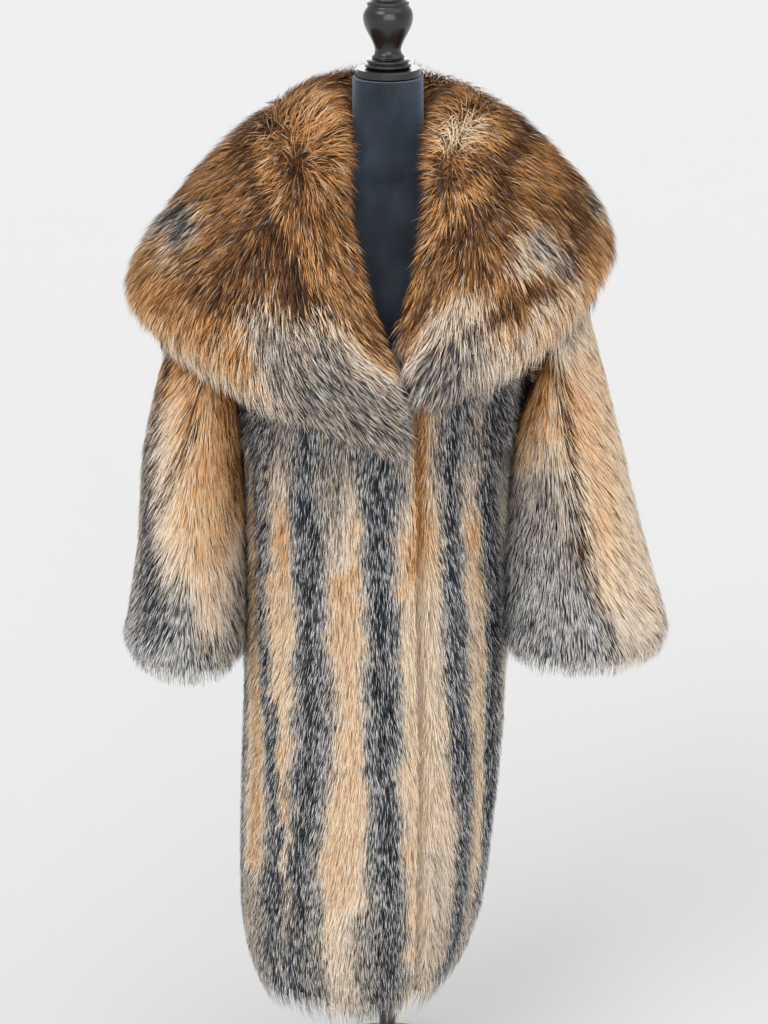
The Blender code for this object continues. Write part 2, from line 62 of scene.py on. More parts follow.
# The coat's body, from the hem (level 0) to the neckline (level 10).
BODY_COLUMNS = ("front_z", "side_z", "back_z", "half_width", "front", "back", "lean", "fold", "edge")
BODY_LEVELS = (
    (0.272, 0.280, 0.276, 0.160, 0.172, 0.170, -0.047, 0.0050, -31.0),
    (0.345, 0.350, 0.348, 0.177, 0.188, 0.184, -0.044, 0.0060, -30.0),
    (0.500, 0.500, 0.500, 0.184, 0.190, 0.186, -0.035, 0.0060, -26.0),
    (0.700, 0.700, 0.700, 0.186, 0.184, 0.182, -0.023, 0.0045, -21.5),
    (0.900, 0.900, 0.900, 0.180, 0.176, 0.172, -0.017, 0.0025, -19.0),
    (1.080, 1.080, 1.080, 0.180, 0.172, 0.162, -0.014, 0.0010, -17.5),
    (1.200, 1.200, 1.200, 0.184, 0.168, 0.156, -0.010, 0.0000, -13.0),
    (1.270, 1.330, 1.335, 0.196, 0.158, 0.150, -0.004, 0.0000, 0.0),
    (1.370, 1.445, 1.445, 0.205, 0.120, 0.122, 0.0000, 0.0000, 26.0),
    (1.435, 1.482, 1.477, 0.135, 0.096, 0.100, 0.0000, 0.0000, 50.0),
    (1.470, 1.503, 1.497, 0.072, 0.070, 0.076, 0.0000, 0.0000, 78.0),
)
UNDERARM, BREAK, SHOULDER, NECKLINE = 6, 7, 8, 10
ARMHOLE_MIDDLE, ARMHOLE_REACH = (UNDERARM + SHOULDER) / 2, (SHOULDER - UNDERARM) / 2
BODY_WALL = 0.018
BODY_CORNER = 0.03
FOLD_WAVES = ((5, 0.6, 1.0), (8, 2.0, 0.6))
ARMHOLE_ANGLE = 33.0
ARMHOLE_RADIUS, ARMHOLE_LEVEL_HEIGHT = 0.19, 0.126
SKIRT_ROWS, ARMHOLE_ROWS, YOKE_ROWS = 12, 10, 7
RIGHT_COLUMNS, LEFT_COLUMNS, BACK_COLUMNS = 14, 11, 23
SEAM_SLANT = 1.3
UNDERLAP_WALL = 0.006
UNDERLAP_ANGLE = 22.0
UNDERLAP_COLUMNS = 4
LAP_STEP_ANGLE = 5.0
NECK_STRIP_ANGLE = 3.0
LAP_EDGE_ANGLE = 0.4
SINK_START, SINK_REACH = BREAK - 0.08, 0.45
WIDEN_START, WIDEN_REACH = BREAK - 0.6, 0.6

# A sleeve from its head to its cuff.
SLEEVE_COLUMNS = ("outer_x", "outer_z", "inner_x", "inner_z", "half_depth", "forward")
RIGHT_SLEEVE = (
    (0.238, 1.400, 0.206, 1.190, 0.098, 0.000),
    (0.262, 1.318, 0.200, 1.135, 0.098, 0.006),
    (0.298, 1.215, 0.198, 1.070, 0.098, 0.014),
    (0.330, 1.090, 0.197, 1.005, 0.099, 0.022),
    (0.342, 0.970, 0.196, 0.935, 0.101, 0.030),
    (0.357, 0.878, 0.196, 0.868, 0.104, 0.036),
    (0.366, 0.826, 0.197, 0.820, 0.105, 0.040),
    (0.357, 0.800, 0.206, 0.796, 0.097, 0.042),
)
LEFT_SLEEVE = (
    (0.236, 1.400, 0.200, 1.190, 0.096, 0.000),
    (0.252, 1.322, 0.180, 1.135, 0.095, 0.006),
    (0.280, 1.225, 0.168, 1.070, 0.093, 0.012),
    (0.318, 1.090, 0.164, 1.005, 0.093, 0.020),
    (0.350, 0.970, 0.162, 0.935, 0.094, 0.028),
    (0.378, 0.878, 0.161, 0.868, 0.094, 0.034),
    (0.391, 0.830, 0.162, 0.824, 0.093, 0.038),
    (0.381, 0.804, 0.171, 0.800, 0.085, 0.040),
)
SLEEVE_WALL = 0.022
HEAD_SPREAD = 0.002
SLEEVE_SIDES = 28
SLEEVE_ROWS = 13

# Half of the collar, station by station from its front end to the middle of the back.
COLLAR_COLUMNS = (
    "seam_angle", "seam_level", "inner_angle", "edge_angle",
    "inner_r", "inner_z", "crest_r", "crest_z", "fall_r", "fall_z",
    "bulge_r", "bulge_z", "edge_r", "edge_z",
)
RIGHT_COLLAR = (
    (6.0, 7.3, 3.5, -9.0, 0.164, 1.306, 0.184, 1.298, 0.214, 1.245, 0.228, 1.178, 0.222, 1.128),
    (13.5, 7.5, 13.0, 22.0, 0.142, 1.373, 0.160, 1.376, 0.208, 1.308, 0.240, 1.228, 0.230, 1.170),
    (26.0, 8.0, 25.0, 40.0, 0.112, 1.428, 0.135, 1.440, 0.205, 1.368, 0.264, 1.258, 0.252, 1.191),
    (50.0, 9.0, 40.0, 56.0, 0.078, 1.498, 0.104, 1.520, 0.198, 1.440, 0.298, 1.303, 0.272, 1.213),
    (78.0, 10.0, 66.0, 74.0, 0.055, 1.534, 0.098, 1.562, 0.205, 1.486, 0.330, 1.326, 0.290, 1.231),
    (92.0, 10.0, 92.0, 93.0, 0.055, 1.538, 0.104, 1.568, 0.225, 1.488, 0.341, 1.333, 0.298, 1.240),
    (125.0, 10.0, 125.0, 122.0, 0.055, 1.540, 0.108, 1.570, 0.212, 1.483, 0.302, 1.323, 0.275, 1.216),
    (153.0, 10.0, 153.0, 151.0, 0.062, 1.540, 0.110, 1.571, 0.192, 1.468, 0.254, 1.298, 0.236, 1.180),
    (180.0, 10.0, 180.0, 180.0, 0.064, 1.540, 0.112, 1.572, 0.182, 1.456, 0.232, 1.288, 0.218, 1.160),
)
LEFT_COLLAR = (
    (6.0, 7.3, 3.0, 10.0, 0.164, 1.306, 0.182, 1.298, 0.208, 1.264, 0.221, 1.228, 0.216, 1.202),
    (13.5, 7.5, 13.0, 24.0, 0.142, 1.373, 0.160, 1.376, 0.205, 1.318, 0.234, 1.260, 0.226, 1.216),
    (26.0, 8.0, 25.0, 41.0, 0.112, 1.428, 0.135, 1.438, 0.202, 1.376, 0.250, 1.290, 0.238, 1.232),
    (50.0, 9.0, 40.0, 56.0, 0.078, 1.496, 0.104, 1.512, 0.196, 1.444, 0.272, 1.336, 0.253, 1.256),
    (78.0, 10.0, 66.0, 74.0, 0.055, 1.526, 0.098, 1.552, 0.198, 1.484, 0.286, 1.368, 0.262, 1.282),
    (92.0, 10.0, 92.0, 93.0, 0.055, 1.530, 0.104, 1.562, 0.212, 1.494, 0.294, 1.382, 0.264, 1.292),
    (125.0, 10.0, 125.0, 122.0, 0.055, 1.536, 0.108, 1.567, 0.206, 1.490, 0.280, 1.356, 0.256, 1.252),
    (153.0, 10.0, 153.0, 151.0, 0.062, 1.540, 0.110, 1.571, 0.190, 1.468, 0.250, 1.310, 0.234, 1.196),
    (180.0, 10.0, 180.0, 180.0, 0.064, 1.540, 0.112, 1.572, 0.182, 1.456, 0.232, 1.288, 0.218, 1.160),
)
COLLAR_WALLS = (0.018, 0.020, 0.030, 0.040, 0.042, 0.022)
COLLAR_LEAST_WALL = 0.014
LIFT_REACH = 0.08
COLLAR_SEAM_WALL = 0.010
BACK_SEAM_ANGLE = 98.0
FREE_PLACE = 1.4
FRONT_END_SHARE, FRONT_END_COLUMNS = 0.5, 5
COLLAR_COLUMNS_BUILT, COLLAR_ROWS_BUILT = 21, 13
NECKLINE_END = 0.11
EDGE_TURN_LEVELS = 0.5
BESIDE_SHARE = 0.8


def along(rows, place):
    """The values at place on a smooth curve through rows, which lie at 0, 1, 2 and so on."""
    rows = np.asarray(rows, float)
    last = len(rows) - 1
    first = min(max(int(place), 0), last - 1)
    part = place - first
    start, end = rows[first], rows[first + 1]
    start_slope = (end - rows[max(first - 1, 0)]) / 2
    end_slope = (rows[min(first + 2, last)] - start) / 2
    return (
        start * (1 - part) ** 2 * (1 + 2 * part)
        + start_slope * part * (1 - part) ** 2
        + end * part**2 * (3 - 2 * part)
        - end_slope * part**2 * (1 - part)
    )


def eased(part):
    part = np.clip(part, 0.0, 1.0)
    return part * part * (3 - 2 * part)


def above(values, start, reach):
    """0 up to start, 1 from a reach past it, and eased between."""
    return eased((values - start) / reach)


def below(values, start, reach):
    return 1 - above(values, start, reach)


def unit(vector):
    return vector / np.linalg.norm(vector)


def body_row(level):
    return dict(zip(BODY_COLUMNS, along(BODY_LEVELS, level)))


def body_surface(side, angle, level):
    """A point on the coat's outer face. Angles past 180 go on round to the other side."""
    row = body_row(level)
    turn = math.radians(angle)
    across, ahead = math.sin(turn), math.cos(turn)
    if ahead > 0:
        deep, end_z = row["front"], row["front_z"]
    else:
        deep, end_z = row["back"], row["back_z"]
    fold = row["fold"] * sum(
        share * math.sin(count * side * turn + start) for count, start, share in FOLD_WAVES
    )
    corner = 1 + BODY_CORNER * math.sin(2 * turn) ** 2
    return np.array((
        row["lean"] + side * across * (row["half_width"] * corner + fold),
        -ahead * (deep * corner + fold),
        row["side_z"] + (end_z - row["side_z"]) * ahead**2,
    ))


def body_point(side, angle, level, depth=0.0):
    """A point at a depth under the coat's outer face, or above it where depth is negative."""
    tilt, rise = 0.5, 0.02
    point = body_surface(side, angle, level)
    if depth == 0.0:
        return point
    level = min(level, NECKLINE - rise)
    level = max(level, rise)
    round_way = body_surface(side, angle + tilt, level) - body_surface(side, angle - tilt, level)
    up_way = body_surface(side, angle, level + rise) - body_surface(side, angle, level - rise)
    return point - depth * unit(np.cross(round_way, up_way)) * side


def armhole(level):
    """Half the angle that the armhole takes at a level, none above or below it."""
    return ARMHOLE_ANGLE * math.sqrt(max(0.0, 1 - ((level - ARMHOLE_MIDDLE) / ARMHOLE_REACH) ** 2))


def seam_angle(level):
    """Half of the seam gap, as an angle."""
    return math.degrees(SEAM_GAP / 2 / body_row(level)["half_width"]) * SEAM_SLANT


def panel_levels():
    skirt = np.linspace(0, UNDERARM, SKIRT_ROWS)
    turns = np.linspace(0, math.pi, ARMHOLE_ROWS)[1:-1]
    arm = ARMHOLE_MIDDLE - ARMHOLE_REACH * np.cos(turns)
    top = np.linspace(SHOULDER, NECKLINE, YOKE_ROWS)
    return [*skirt, *arm, *top]


def skin_tree(pieces):
    """A search tree over the outer grids of some pieces, with every face turned outwards."""
    points, faces = [], []
    for outer, inner, closed in pieces:
        first, rows, columns = len(points), len(outer), len(outer[0])
        points += [Vector(point) for row in outer for point in row]
        for r in range(rows - 1):
            for c in range(columns if closed else columns - 1):
                d = (c + 1) % columns
                corners = [(r, c), (r, d), (r + 1, d), (r + 1, c)]
                places = [outer[i][j] for i, j in corners]
                normal = np.cross(places[2] - places[0], places[3] - places[1])
                if normal.dot(outer[r][c] - inner[r][c]) < 0:
                    corners.reverse()
                quad = [first + i * columns + j for i, j in corners]
                faces += [(quad[0], quad[1], quad[2]), (quad[0], quad[2], quad[3])]
    return BVHTree.FromPolygons(points, faces)


def kept_clear(point, tree, gap):
    """The point, or the nearest place that lies a gap above the tree's skins or off their edges."""
    place, normal, _, distance = tree.find_nearest(Vector(point))
    away = Vector(point) - place
    height = away.dot(normal)
    beside = distance > 0 and abs(height) < BESIDE_SHARE * distance
    if beside and distance < gap:
        return np.array(place + away * (gap / distance))
    if not beside and height < gap:
        return np.array(place + normal * gap)
    return point


def lifted(point, out, tree, gap):
    """The point, or the place a gap above the outermost skin on the line through it along out."""
    start = Vector(point + out * LIFT_REACH)
    place, _, _, _ = tree.ray_cast(start, Vector(-out), LIFT_REACH + gap)
    return point if place is None else np.array(place) + out * gap


def panel(side, columns_at):
    """A piece of the body from what columns_at gives at a level: angles, depths and walls."""
    outer, inner, marks = [], [], []
    for level in panel_levels():
        columns = columns_at(level)
        outer.append([body_point(side, angle, level, depth) for angle, depth, _ in columns])
        inner.append([body_point(side, angle, level, depth + wall) for angle, depth, wall in columns])
        marks.append([(side * angle, level) for angle, _, _ in columns])
    return outer, inner, marks


def plain_columns(first, last, count):
    return [(angle, 0.0, BODY_WALL) for angle in np.linspace(first, last, count)]


def right_columns(level):
    last = 90 - armhole(level) - seam_angle(level)
    return plain_columns(body_row(level)["edge"], last, RIGHT_COLUMNS)


def left_columns(level):
    """The front beneath, whose flattened underlap steps in under the right front's edge."""
    last = 90 - armhole(level) - seam_angle(level)
    under = eased((SINK_START - level) / SINK_REACH)
    slid = eased((WIDEN_START - level) / WIDEN_REACH)
    strip = NECK_STRIP_ANGLE + (UNDERLAP_ANGLE - NECK_STRIP_ANGLE) * slid
    edge = abs(body_row(level)["edge"]) + LAP_EDGE_ANGLE + NECK_STRIP_ANGLE * (1 - slid)
    sunk = (BODY_WALL + LAP_GAP) * under
    thin = BODY_WALL - (BODY_WALL - UNDERLAP_WALL) * under
    hidden = [(angle, sunk, thin) for angle in np.linspace(edge - strip, edge, UNDERLAP_COLUMNS)]
    step = min(LAP_STEP_ANGLE, (last - edge) / 4)
    return hidden + plain_columns(edge + step, last, LEFT_COLUMNS)


def back_columns(level):
    first = 90 + armhole(level) + seam_angle(level)
    return plain_columns(first, 360 - first, BACK_COLUMNS)


def armhole_ring(side, spread):
    """Points round the armhole just above the coat's body, spread beyond the armhole's edge."""
    level_reach = ARMHOLE_REACH + spread / ARMHOLE_LEVEL_HEIGHT
    angle_reach = ARMHOLE_ANGLE + math.degrees(spread / ARMHOLE_RADIUS)
    ring = []
    for k in range(SLEEVE_SIDES):
        turn = 2 * math.pi * k / SLEEVE_SIDES
        angle = 90 - angle_reach * math.sin(turn)
        level = ARMHOLE_MIDDLE + level_reach * math.cos(turn)
        ring.append(body_point(side, angle, level, -HEAD_GAP))
    return ring


def sleeve_ring(side, row):
    """The middle of the sleeve, and a ring of points on it between its outer and inner side."""
    values = dict(zip(SLEEVE_COLUMNS, row))
    outer = np.array((side * values["outer_x"], -values["forward"], values["outer_z"]))
    inner = np.array((side * values["inner_x"], -values["forward"], values["inner_z"]))
    middle, reach = (outer + inner) / 2, (outer - inner) / 2
    deep = np.array((0, values["half_depth"], 0))
    turns = [2 * math.pi * k / SLEEVE_SIDES for k in range(SLEEVE_SIDES)]
    return middle, [middle + reach * math.cos(turn) - deep * math.sin(turn) for turn in turns]


def sleeve(side, table, body):
    """A sleeve from the armhole down to its cuff, lying against the coat's body."""
    outer = [armhole_ring(side, HEAD_SPREAD + SLEEVE_WALL)]
    inner = [armhole_ring(side, HEAD_SPREAD)]
    for place in np.linspace(0, len(table) - 1, SLEEVE_ROWS):
        middle, ring = sleeve_ring(side, along(table, place))
        outer.append([kept_clear(point, body, CLEAR_GAP) for point in ring])
        inner.append([point + unit(middle - point) * SLEEVE_WALL for point in outer[-1]])
    marks = [[(c / SLEEVE_SIDES, r) for c in range(SLEEVE_SIDES)] for r in range(SLEEVE_ROWS + 1)]
    return outer, inner, marks


def off_neckline(side, angle, level):
    """The direction off the edge of the coat's neckline: up at its top, square to it on the fronts."""
    near_levels, far_levels, inland_angle = 0.1, 0.25, 3
    surface = body_surface(side, angle, level)
    up_way = unit(surface - body_surface(side, angle, level - far_levels))
    if level >= NECKLINE:
        return up_way
    ends = [
        body_surface(side, body_row(near)["edge"], near)
        for near in (level - near_levels, level + near_levels)
    ]
    off = unit(np.cross(ends[1] - ends[0], surface - body_point(side, angle, level, BODY_WALL)))
    inland = body_surface(side, angle + inland_angle, level - far_levels)
    off = off if off.dot(surface - inland) > 0 else -off
    return unit(off + up_way * eased(1 + (level - NECKLINE) / EDGE_TURN_LEVELS))


def collar_profile(side, station):
    """Control points of the outer face from the neck seam to the edge, and the seam's far side."""
    row = dict(zip(COLLAR_COLUMNS, station))
    level = row["seam_level"] if row["seam_level"] < NECKLINE - NECKLINE_END else NECKLINE
    angle = body_row(level)["edge"] if level < NECKLINE else row["seam_angle"]
    gap = REST_GAP if angle > BACK_SEAM_ANGLE else NECK_GAP
    away = off_neckline(side, angle, level) * gap
    points = [body_point(side, angle, level, COLLAR_SEAM_WALL) + away]
    parts = ("inner", "crest", "fall", "bulge", "edge")
    for k, part in enumerate(parts):
        share = eased(k / (len(parts) - 1))
        turn = math.radians(row["inner_angle"] + (row["edge_angle"] - row["inner_angle"]) * share)
        radius = row[part + "_r"]
        points.append(np.array((side * radius * math.sin(turn), -radius * math.cos(turn), row[part + "_z"])))
    return points, body_point(side, angle, level) + away


def collar(side, table, under):
    """Half of the collar: it stands up from the neck seam, rolls over and falls like a cape."""
    stations = np.linspace(0, len(table) - 1, COLLAR_COLUMNS_BUILT)
    profiles = [collar_profile(side, along(table, place)) for place in stations]
    places = np.linspace(0, len(COLLAR_WALLS) - 1, COLLAR_ROWS_BUILT)
    outer = [[along(points, place) for place in places] for points, _ in profiles]
    walls = [[wall] for wall in COLLAR_WALLS]
    last_column, last_row = len(outer) - 1, len(places) - 1
    top, below = [], []
    for c, column in enumerate(outer):
        after, before = outer[min(c + 1, last_column)], outer[max(c - 1, 0)]
        top.append([column[0]])
        below.append([profiles[c][1]])
        thickness = FRONT_END_SHARE + (1 - FRONT_END_SHARE) * eased(c / FRONT_END_COLUMNS)
        for r in range(1, len(places)):
            down = column[min(r + 1, last_row)] - column[r - 1]
            out = unit(np.cross(after[r] - before[r], down)) * -side
            depth = along(walls, places[r]) * thickness
            point, under_point = column[r], column[r] - out * depth
            if places[r] > FREE_PLACE:
                point = lifted(point, out, under, COLLAR_GAP + COLLAR_LEAST_WALL)
                under_point = lifted(under_point, out, under, COLLAR_GAP)
            top[-1].append(point)
            below[-1].append(under_point)
    for grid in (top, below):
        for point in grid[-1]:
            point[0] = side * SEAM_GAP / 2
    marks = [[(place, station) for place in places] for station in stations]
    return top, below, marks


DEEPEST_SHARE = 0.94


class Piece:
    """A piece of the coat as smooth outer and inner faces over a row and a column coordinate.

    marks holds, at each grid point, what the hair's colours and directions are worked out from:
    angle and level on the body, turn and row on a sleeve, profile and station on the collar.
    """

    def __init__(self, grids, closed=False):
        self.outer, self.inner, self.marks = (np.array(grid, float) for grid in grids)
        self.closed = closed
        self.rows, self.columns = self.outer.shape[:2]

    def read(self, grid, r, c):
        """The grid's values at arrays of fractional rows and columns, on smooth curves."""
        r = np.clip(r, 0, self.rows - 1 - 1e-9)
        c = c if self.closed else np.clip(c, 0, self.columns - 1 - 1e-9)
        i, j = np.floor(r).astype(int), np.floor(c).astype(int)
        total = 0
        for a, row_share in enumerate(curve_shares(r - i)):
            rows = np.clip(i - 1 + a, 0, self.rows - 1)
            for b, column_share in enumerate(curve_shares(c - j)):
                columns = j - 1 + b
                columns = columns % self.columns if self.closed else np.clip(columns, 0, self.columns - 1)
                total = total + (row_share * column_share)[..., None] * grid[rows, columns]
        return total

    def marks_at(self, r, c):
        """The marks at rows and columns. A sleeve's turn comes from the column, because it wraps."""
        found = self.read(self.marks, r, c)
        if self.closed:
            found[:, 0] = (c / self.columns) % 1.0
        return found

    def place(self, r, c, depth):
        """Points a depth under the outer face, its outward normals there, and its ways by row and column."""
        step = 0.02
        point = self.read(self.outer, r, c)
        through = point - self.read(self.inner, r, c)
        by_row = self.read(self.outer, r + step, c) - self.read(self.outer, r - step, c)
        by_column = self.read(self.outer, r, c + step) - self.read(self.outer, r, c - step)
        normal = units(np.cross(by_row, by_column))
        normal = normal * np.sign(dots(normal, through))
        wall = np.linalg.norm(through, axis=-1, keepdims=True)
        share = np.minimum(depth[..., None] / wall, DEEPEST_SHARE)
        return point - through * share, normal, units(by_row), units(by_column)


def curve_shares(part):
    """What the four grid values round a place add to a smooth curve there."""
    return (
        (-part + 2 * part**2 - part**3) / 2,
        (2 - 5 * part**2 + 3 * part**3) / 2,
        (part + 4 * part**2 - 3 * part**3) / 2,
        (-(part**2) + part**3) / 2,
    )


def dots(a, b):
    return (a * b).sum(axis=-1, keepdims=True)


def units(vectors):
    return vectors / np.maximum(np.linalg.norm(vectors, axis=-1, keepdims=True), 1e-12)


# ---------------------------------------------------------------- colours of the hair

# Pigments from black to umber: place on the scale, then the hair's colour at its root, in the band
# below its tip, and at its tip.
PIGMENTS = (
    (0.00, (0.006, 0.007, 0.009), (0.022, 0.026, 0.034), (0.008, 0.009, 0.011)),
    (0.12, (0.012, 0.015, 0.019), (0.100, 0.125, 0.155), (0.012, 0.014, 0.017)),
    (0.30, (0.055, 0.056, 0.062), (0.800, 0.790, 0.780), (0.130, 0.125, 0.120)),
    (0.43, (0.055, 0.042, 0.032), (0.580, 0.455, 0.330), (0.075, 0.054, 0.040)),
    (0.55, (0.800, 0.660, 0.500), (0.970, 0.860, 0.730), (0.950, 0.820, 0.680)),
    (0.66, (0.700, 0.480, 0.290), (0.970, 0.770, 0.540), (0.950, 0.720, 0.480)),
    (0.77, (0.320, 0.130, 0.040), (0.880, 0.450, 0.155), (0.700, 0.320, 0.095)),
    (0.88, (0.050, 0.020, 0.009), (0.235, 0.090, 0.032), (0.100, 0.038, 0.015)),
    (1.00, (0.012, 0.007, 0.005), (0.065, 0.031, 0.016), (0.018, 0.010, 0.007)),
)
BLACK, SLATE, SILVER, TAUPE, CREAM = 0.02, 0.16, 0.31, 0.43, 0.56
PEACH, APRICOT, RUST, UMBER = 0.66, 0.77, 0.87, 0.96
DARK_COOL, DARK_WARM = (0.0, 0.10), (0.94, 1.0)
PALE_COOL, PALE_WARM, AGOUTI = (0.27, 0.35), (0.53, 0.62), (0.38, 0.46)
WARM_FROM = 0.5
OWN_TONE = 0.035

# The fox skins that the body is sewn from, by the dark line down the middle of each: the line's angle
# at chest, waist, knee and hem, half the dark's width in degrees, and the tones of its two flanks.
LINE_HEIGHTS = (0.46, 0.67, 0.87, 1.04)
SKINS = (
    ((-150, -150, -148, -146), 5.5, PEACH, CREAM),
    ((-118, -117, -115, -114), 5.5, PEACH, APRICOT),
    ((-84, -84, -84, -84), 5.0, CREAM, TAUPE),
    ((-41, -46, -60, -62), 4.2, 0.70, PEACH),
    ((-30, -28, -30, -31), 5.5, PEACH, 0.69),
    ((13, 6, 1.5, -0.5), 6.0, 0.67, 0.63),
    ((56, 43, 38, 33), 5.0, 0.60, 0.63),
    ((82, 71, 65, 58), 6.0, PEACH, TAUPE),
    ((112, 106, 98, 92), 5.5, PEACH, CREAM),
    ((138, 134, 128, 124), 5.5, APRICOT, PEACH),
    ((164, 160, 154, 152), 5.5, PEACH, CREAM),
    ((190, 186, 182, 180), 6.5, APRICOT, APRICOT),
    ((210, 210, 212, 214), 5.5, CREAM, PEACH),
)
# Strokes of another tone over the skins: angle and height of their ends, half width in degrees, the
# tone, and how much of it shows.
BODY_STROKES = (
    (-30, 0.62, -27, 0.28, 9.0, 0.37, 0.90), (-21, 0.82, -21, 0.64, 4.0, SILVER, 0.75),
    (-41, 0.70, -38, 0.58, 1.8, 0.75, 0.80), (-38, 0.58, -33, 0.38, 1.8, 0.74, 0.70),
    (-11, 0.76, -10, 0.60, 5.5, 0.66, 0.90), (-10, 0.60, -7, 0.43, 4.8, 0.66, 0.90),
    (-7, 0.43, -1, 0.31, 2.0, 0.70, 0.80), (4, 0.42, 8, 0.27, 12.0, TAUPE, 0.75),
    (16, 0.68, 21, 0.54, 3.2, 0.66, 0.85), (21, 0.54, 26, 0.36, 3.0, 0.69, 0.85),
    (33, 0.52, 40, 0.36, 5.0, 0.46, 0.65), (-27, 0.47, -22, 0.28, 8.0, 0.36, 0.80),
    (-58, 1.14, -55, 0.96, 6.0, SLATE, 0.55),
    (-20, 1.12, -19, 0.98, 6.0, TAUPE, 0.80), (9.5, 1.12, 9.5, 1.03, 2.6, 0.48, 0.70),
    (-56, 0.44, -50, 0.28, 8.0, 0.40, 0.80), (64, 0.60, 66, 0.44, 3.5, 0.67, 0.80),
    (150, 0.60, 146, 0.30, 6.0, 0.42, 0.70), (200, 0.56, 204, 0.30, 6.0, 0.40, 0.75),
    (175, 1.10, 177, 0.98, 6.0, TAUPE, 0.60), (96, 0.50, 100, 0.30, 6.0, 0.42, 0.70),
    (-102, 0.54, -98, 0.30, 6.0, 0.42, 0.70),
)
BODY_DEGREES_PER_METRE = 300.0
FIRST_SKIN_ANGLE = -150
# Waves in the skins' lines: their size in metres, seed and height in degrees.
LINE_WAVES = ((0.07, 11, 1.3), (0.02, 12, 0.9))
LINE_JITTER = 1.3
EDGE_WAVER, EDGE_WAVE_SIZE, EDGE_WAVE_SEED = 0.18, 0.05, 13
# A pair of numbers is a start and a reach, as in above() and below().
FLANK_TURN = (0.3, 0.4)
GRIZZLED_BELOW, GRIZZLED_ABOVE = (0.46, 0.22), (0.98, 0.14)
WIDE_GRIZZLE_BELOW = (0.72, 0.25)
REDDER_ABOVE = (0.88, 0.14)
COOL_TONES = (0.40, 0.16)
LINE_DARK = (0.35, 0.90)
# An apricot strip on the left chest: the degrees over which its sides fade, and the degrees from its
# middle to its ends as a multiple of those.
TAB_ANGLE, TAB_FADE, TAB_ENDS, TAB_BOTTOM = 18, 4, 1.6, 0.95
# The silver beside a dark line is full up to this many half widths of the line from its middle. Then it
# fades, over a reach that grows towards the hem.
SILVER_START, SILVER_REACH, WIDER_REACH = 0.95, 0.8, 0.7
CHEST_ANGLES, CHEST_SILVER, LOW_TAUPE, REDDER = 100, 0.62, 0.55, 0.09
# Shares of dark hairs: everywhere, in the lines, and where the fur is cool, grizzled high up or low down.
BODY_DARK, LINE_SHARE, COOL_DARK, HIGH_DARK, LOW_DARK = 0.010, 0.66, 0.28, 0.40, 0.24
# Shares of pale hairs: everywhere, where it is cool, and what of those the dark hairs take.
BODY_PALE, COOL_PALE, PALE_LOST = 0.02, 0.36, 0.4


def table_value(table, x):
    places, values = zip(*table)
    return np.interp(x, places, values)


def waves(points, size, seed, count=5):
    """A smooth random field over points, from about -1 to 1, whose bumps are about size across."""
    rng = np.random.default_rng(seed)
    total = np.zeros(len(points))
    for _ in range(count):
        way = rng.normal(size=3)
        way *= 2 * math.pi / (size * rng.uniform(1.4, 3.0) * np.linalg.norm(way))
        total += np.sin(points @ way + rng.uniform(0, 2 * math.pi))
    return total / math.sqrt(count)


def body_angle(marks):
    """The angle of marks on the body, from the first skin's line round to it again."""
    return (marks[:, 0] - FIRST_SKIN_ANGLE) % 360 + FIRST_SKIN_ANGLE


def body_pigment(marks, points, seed):
    """Tone, share of dark hairs and share of pale hairs on the body's skins."""
    height = points[:, 2]
    angle = body_angle(marks)
    jitter = np.random.default_rng(seed + 7).normal(0, LINE_JITTER, len(angle))
    for size, wave_seed, most in LINE_WAVES:
        angle = angle + waves(points, size, wave_seed) * most
    angle = angle + jitter
    lines = [np.interp(height, LINE_HEIGHTS, line) for line, *_ in SKINS]
    tone = np.full(len(angle), PEACH)
    near = np.full(len(angle), 9.0)
    for a, b, first, second in zip(lines, lines[1:], SKINS, SKINS[1:]):
        (_, half_a, _, tone_a), (_, half_b, tone_b, _) = first, second
        part = (angle - a) / np.maximum(b - a, 1.0)
        here = (part >= 0) & (part < 1)
        tone = np.where(here, tone_a + (tone_b - tone_a) * above(part, *FLANK_TURN), tone)
        near = np.where(here, np.minimum((angle - a) / half_a, (b - angle) / half_b), near)
    near = near + waves(points, EDGE_WAVE_SIZE, EDGE_WAVE_SEED) * EDGE_WAVER
    low = eased((GRIZZLED_BELOW[0] - height) / GRIZZLED_BELOW[1])
    wide = eased((WIDE_GRIZZLE_BELOW[0] - height) / WIDE_GRIZZLE_BELOW[1])
    silver = below(near, SILVER_START, SILVER_REACH + WIDER_REACH * wide)
    high = above(height, *GRIZZLED_ABOVE) * (np.abs(angle) < CHEST_ANGLES)
    tab = eased(TAB_ENDS - np.abs(angle - TAB_ANGLE) / TAB_FADE)
    tab = tab * (height > TAB_BOTTOM) * (marks[:, 0] > 0)
    high = high * (1 - tab)
    silver = silver * (1 - tab)
    tone = tone + REDDER * above(height, *REDDER_ABOVE)
    tone = tone + (APRICOT - tone) * tab
    tone = tone + (SILVER - tone) * np.maximum(silver, CHEST_SILVER * high)
    tone = tone + (TAUPE - tone) * LOW_TAUPE * low
    places = np.stack((angle, height * BODY_DEGREES_PER_METRE), axis=1)
    tone = painted(tone, places, scaled(BODY_STROKES, 1.0, BODY_DEGREES_PER_METRE))
    cool = below(tone, *COOL_TONES)
    dark = BODY_DARK + LINE_SHARE * below(near, *LINE_DARK) * (1 - tab)
    for share in (COOL_DARK * cool, HIGH_DARK * high, LOW_DARK * low):
        dark = np.maximum(dark, share)
    return tone, dark, BODY_PALE + COOL_PALE * cool * (1 - PALE_LOST * dark)


def scaled(table, by_first, by_second):
    """Streaks or strokes with their ends turned into the units of their half width."""
    return [
        (u0 * by_first, v0 * by_second, u1 * by_first, v1 * by_second, *rest)
        for u0, v0, u1, v1, *rest in table
    ]


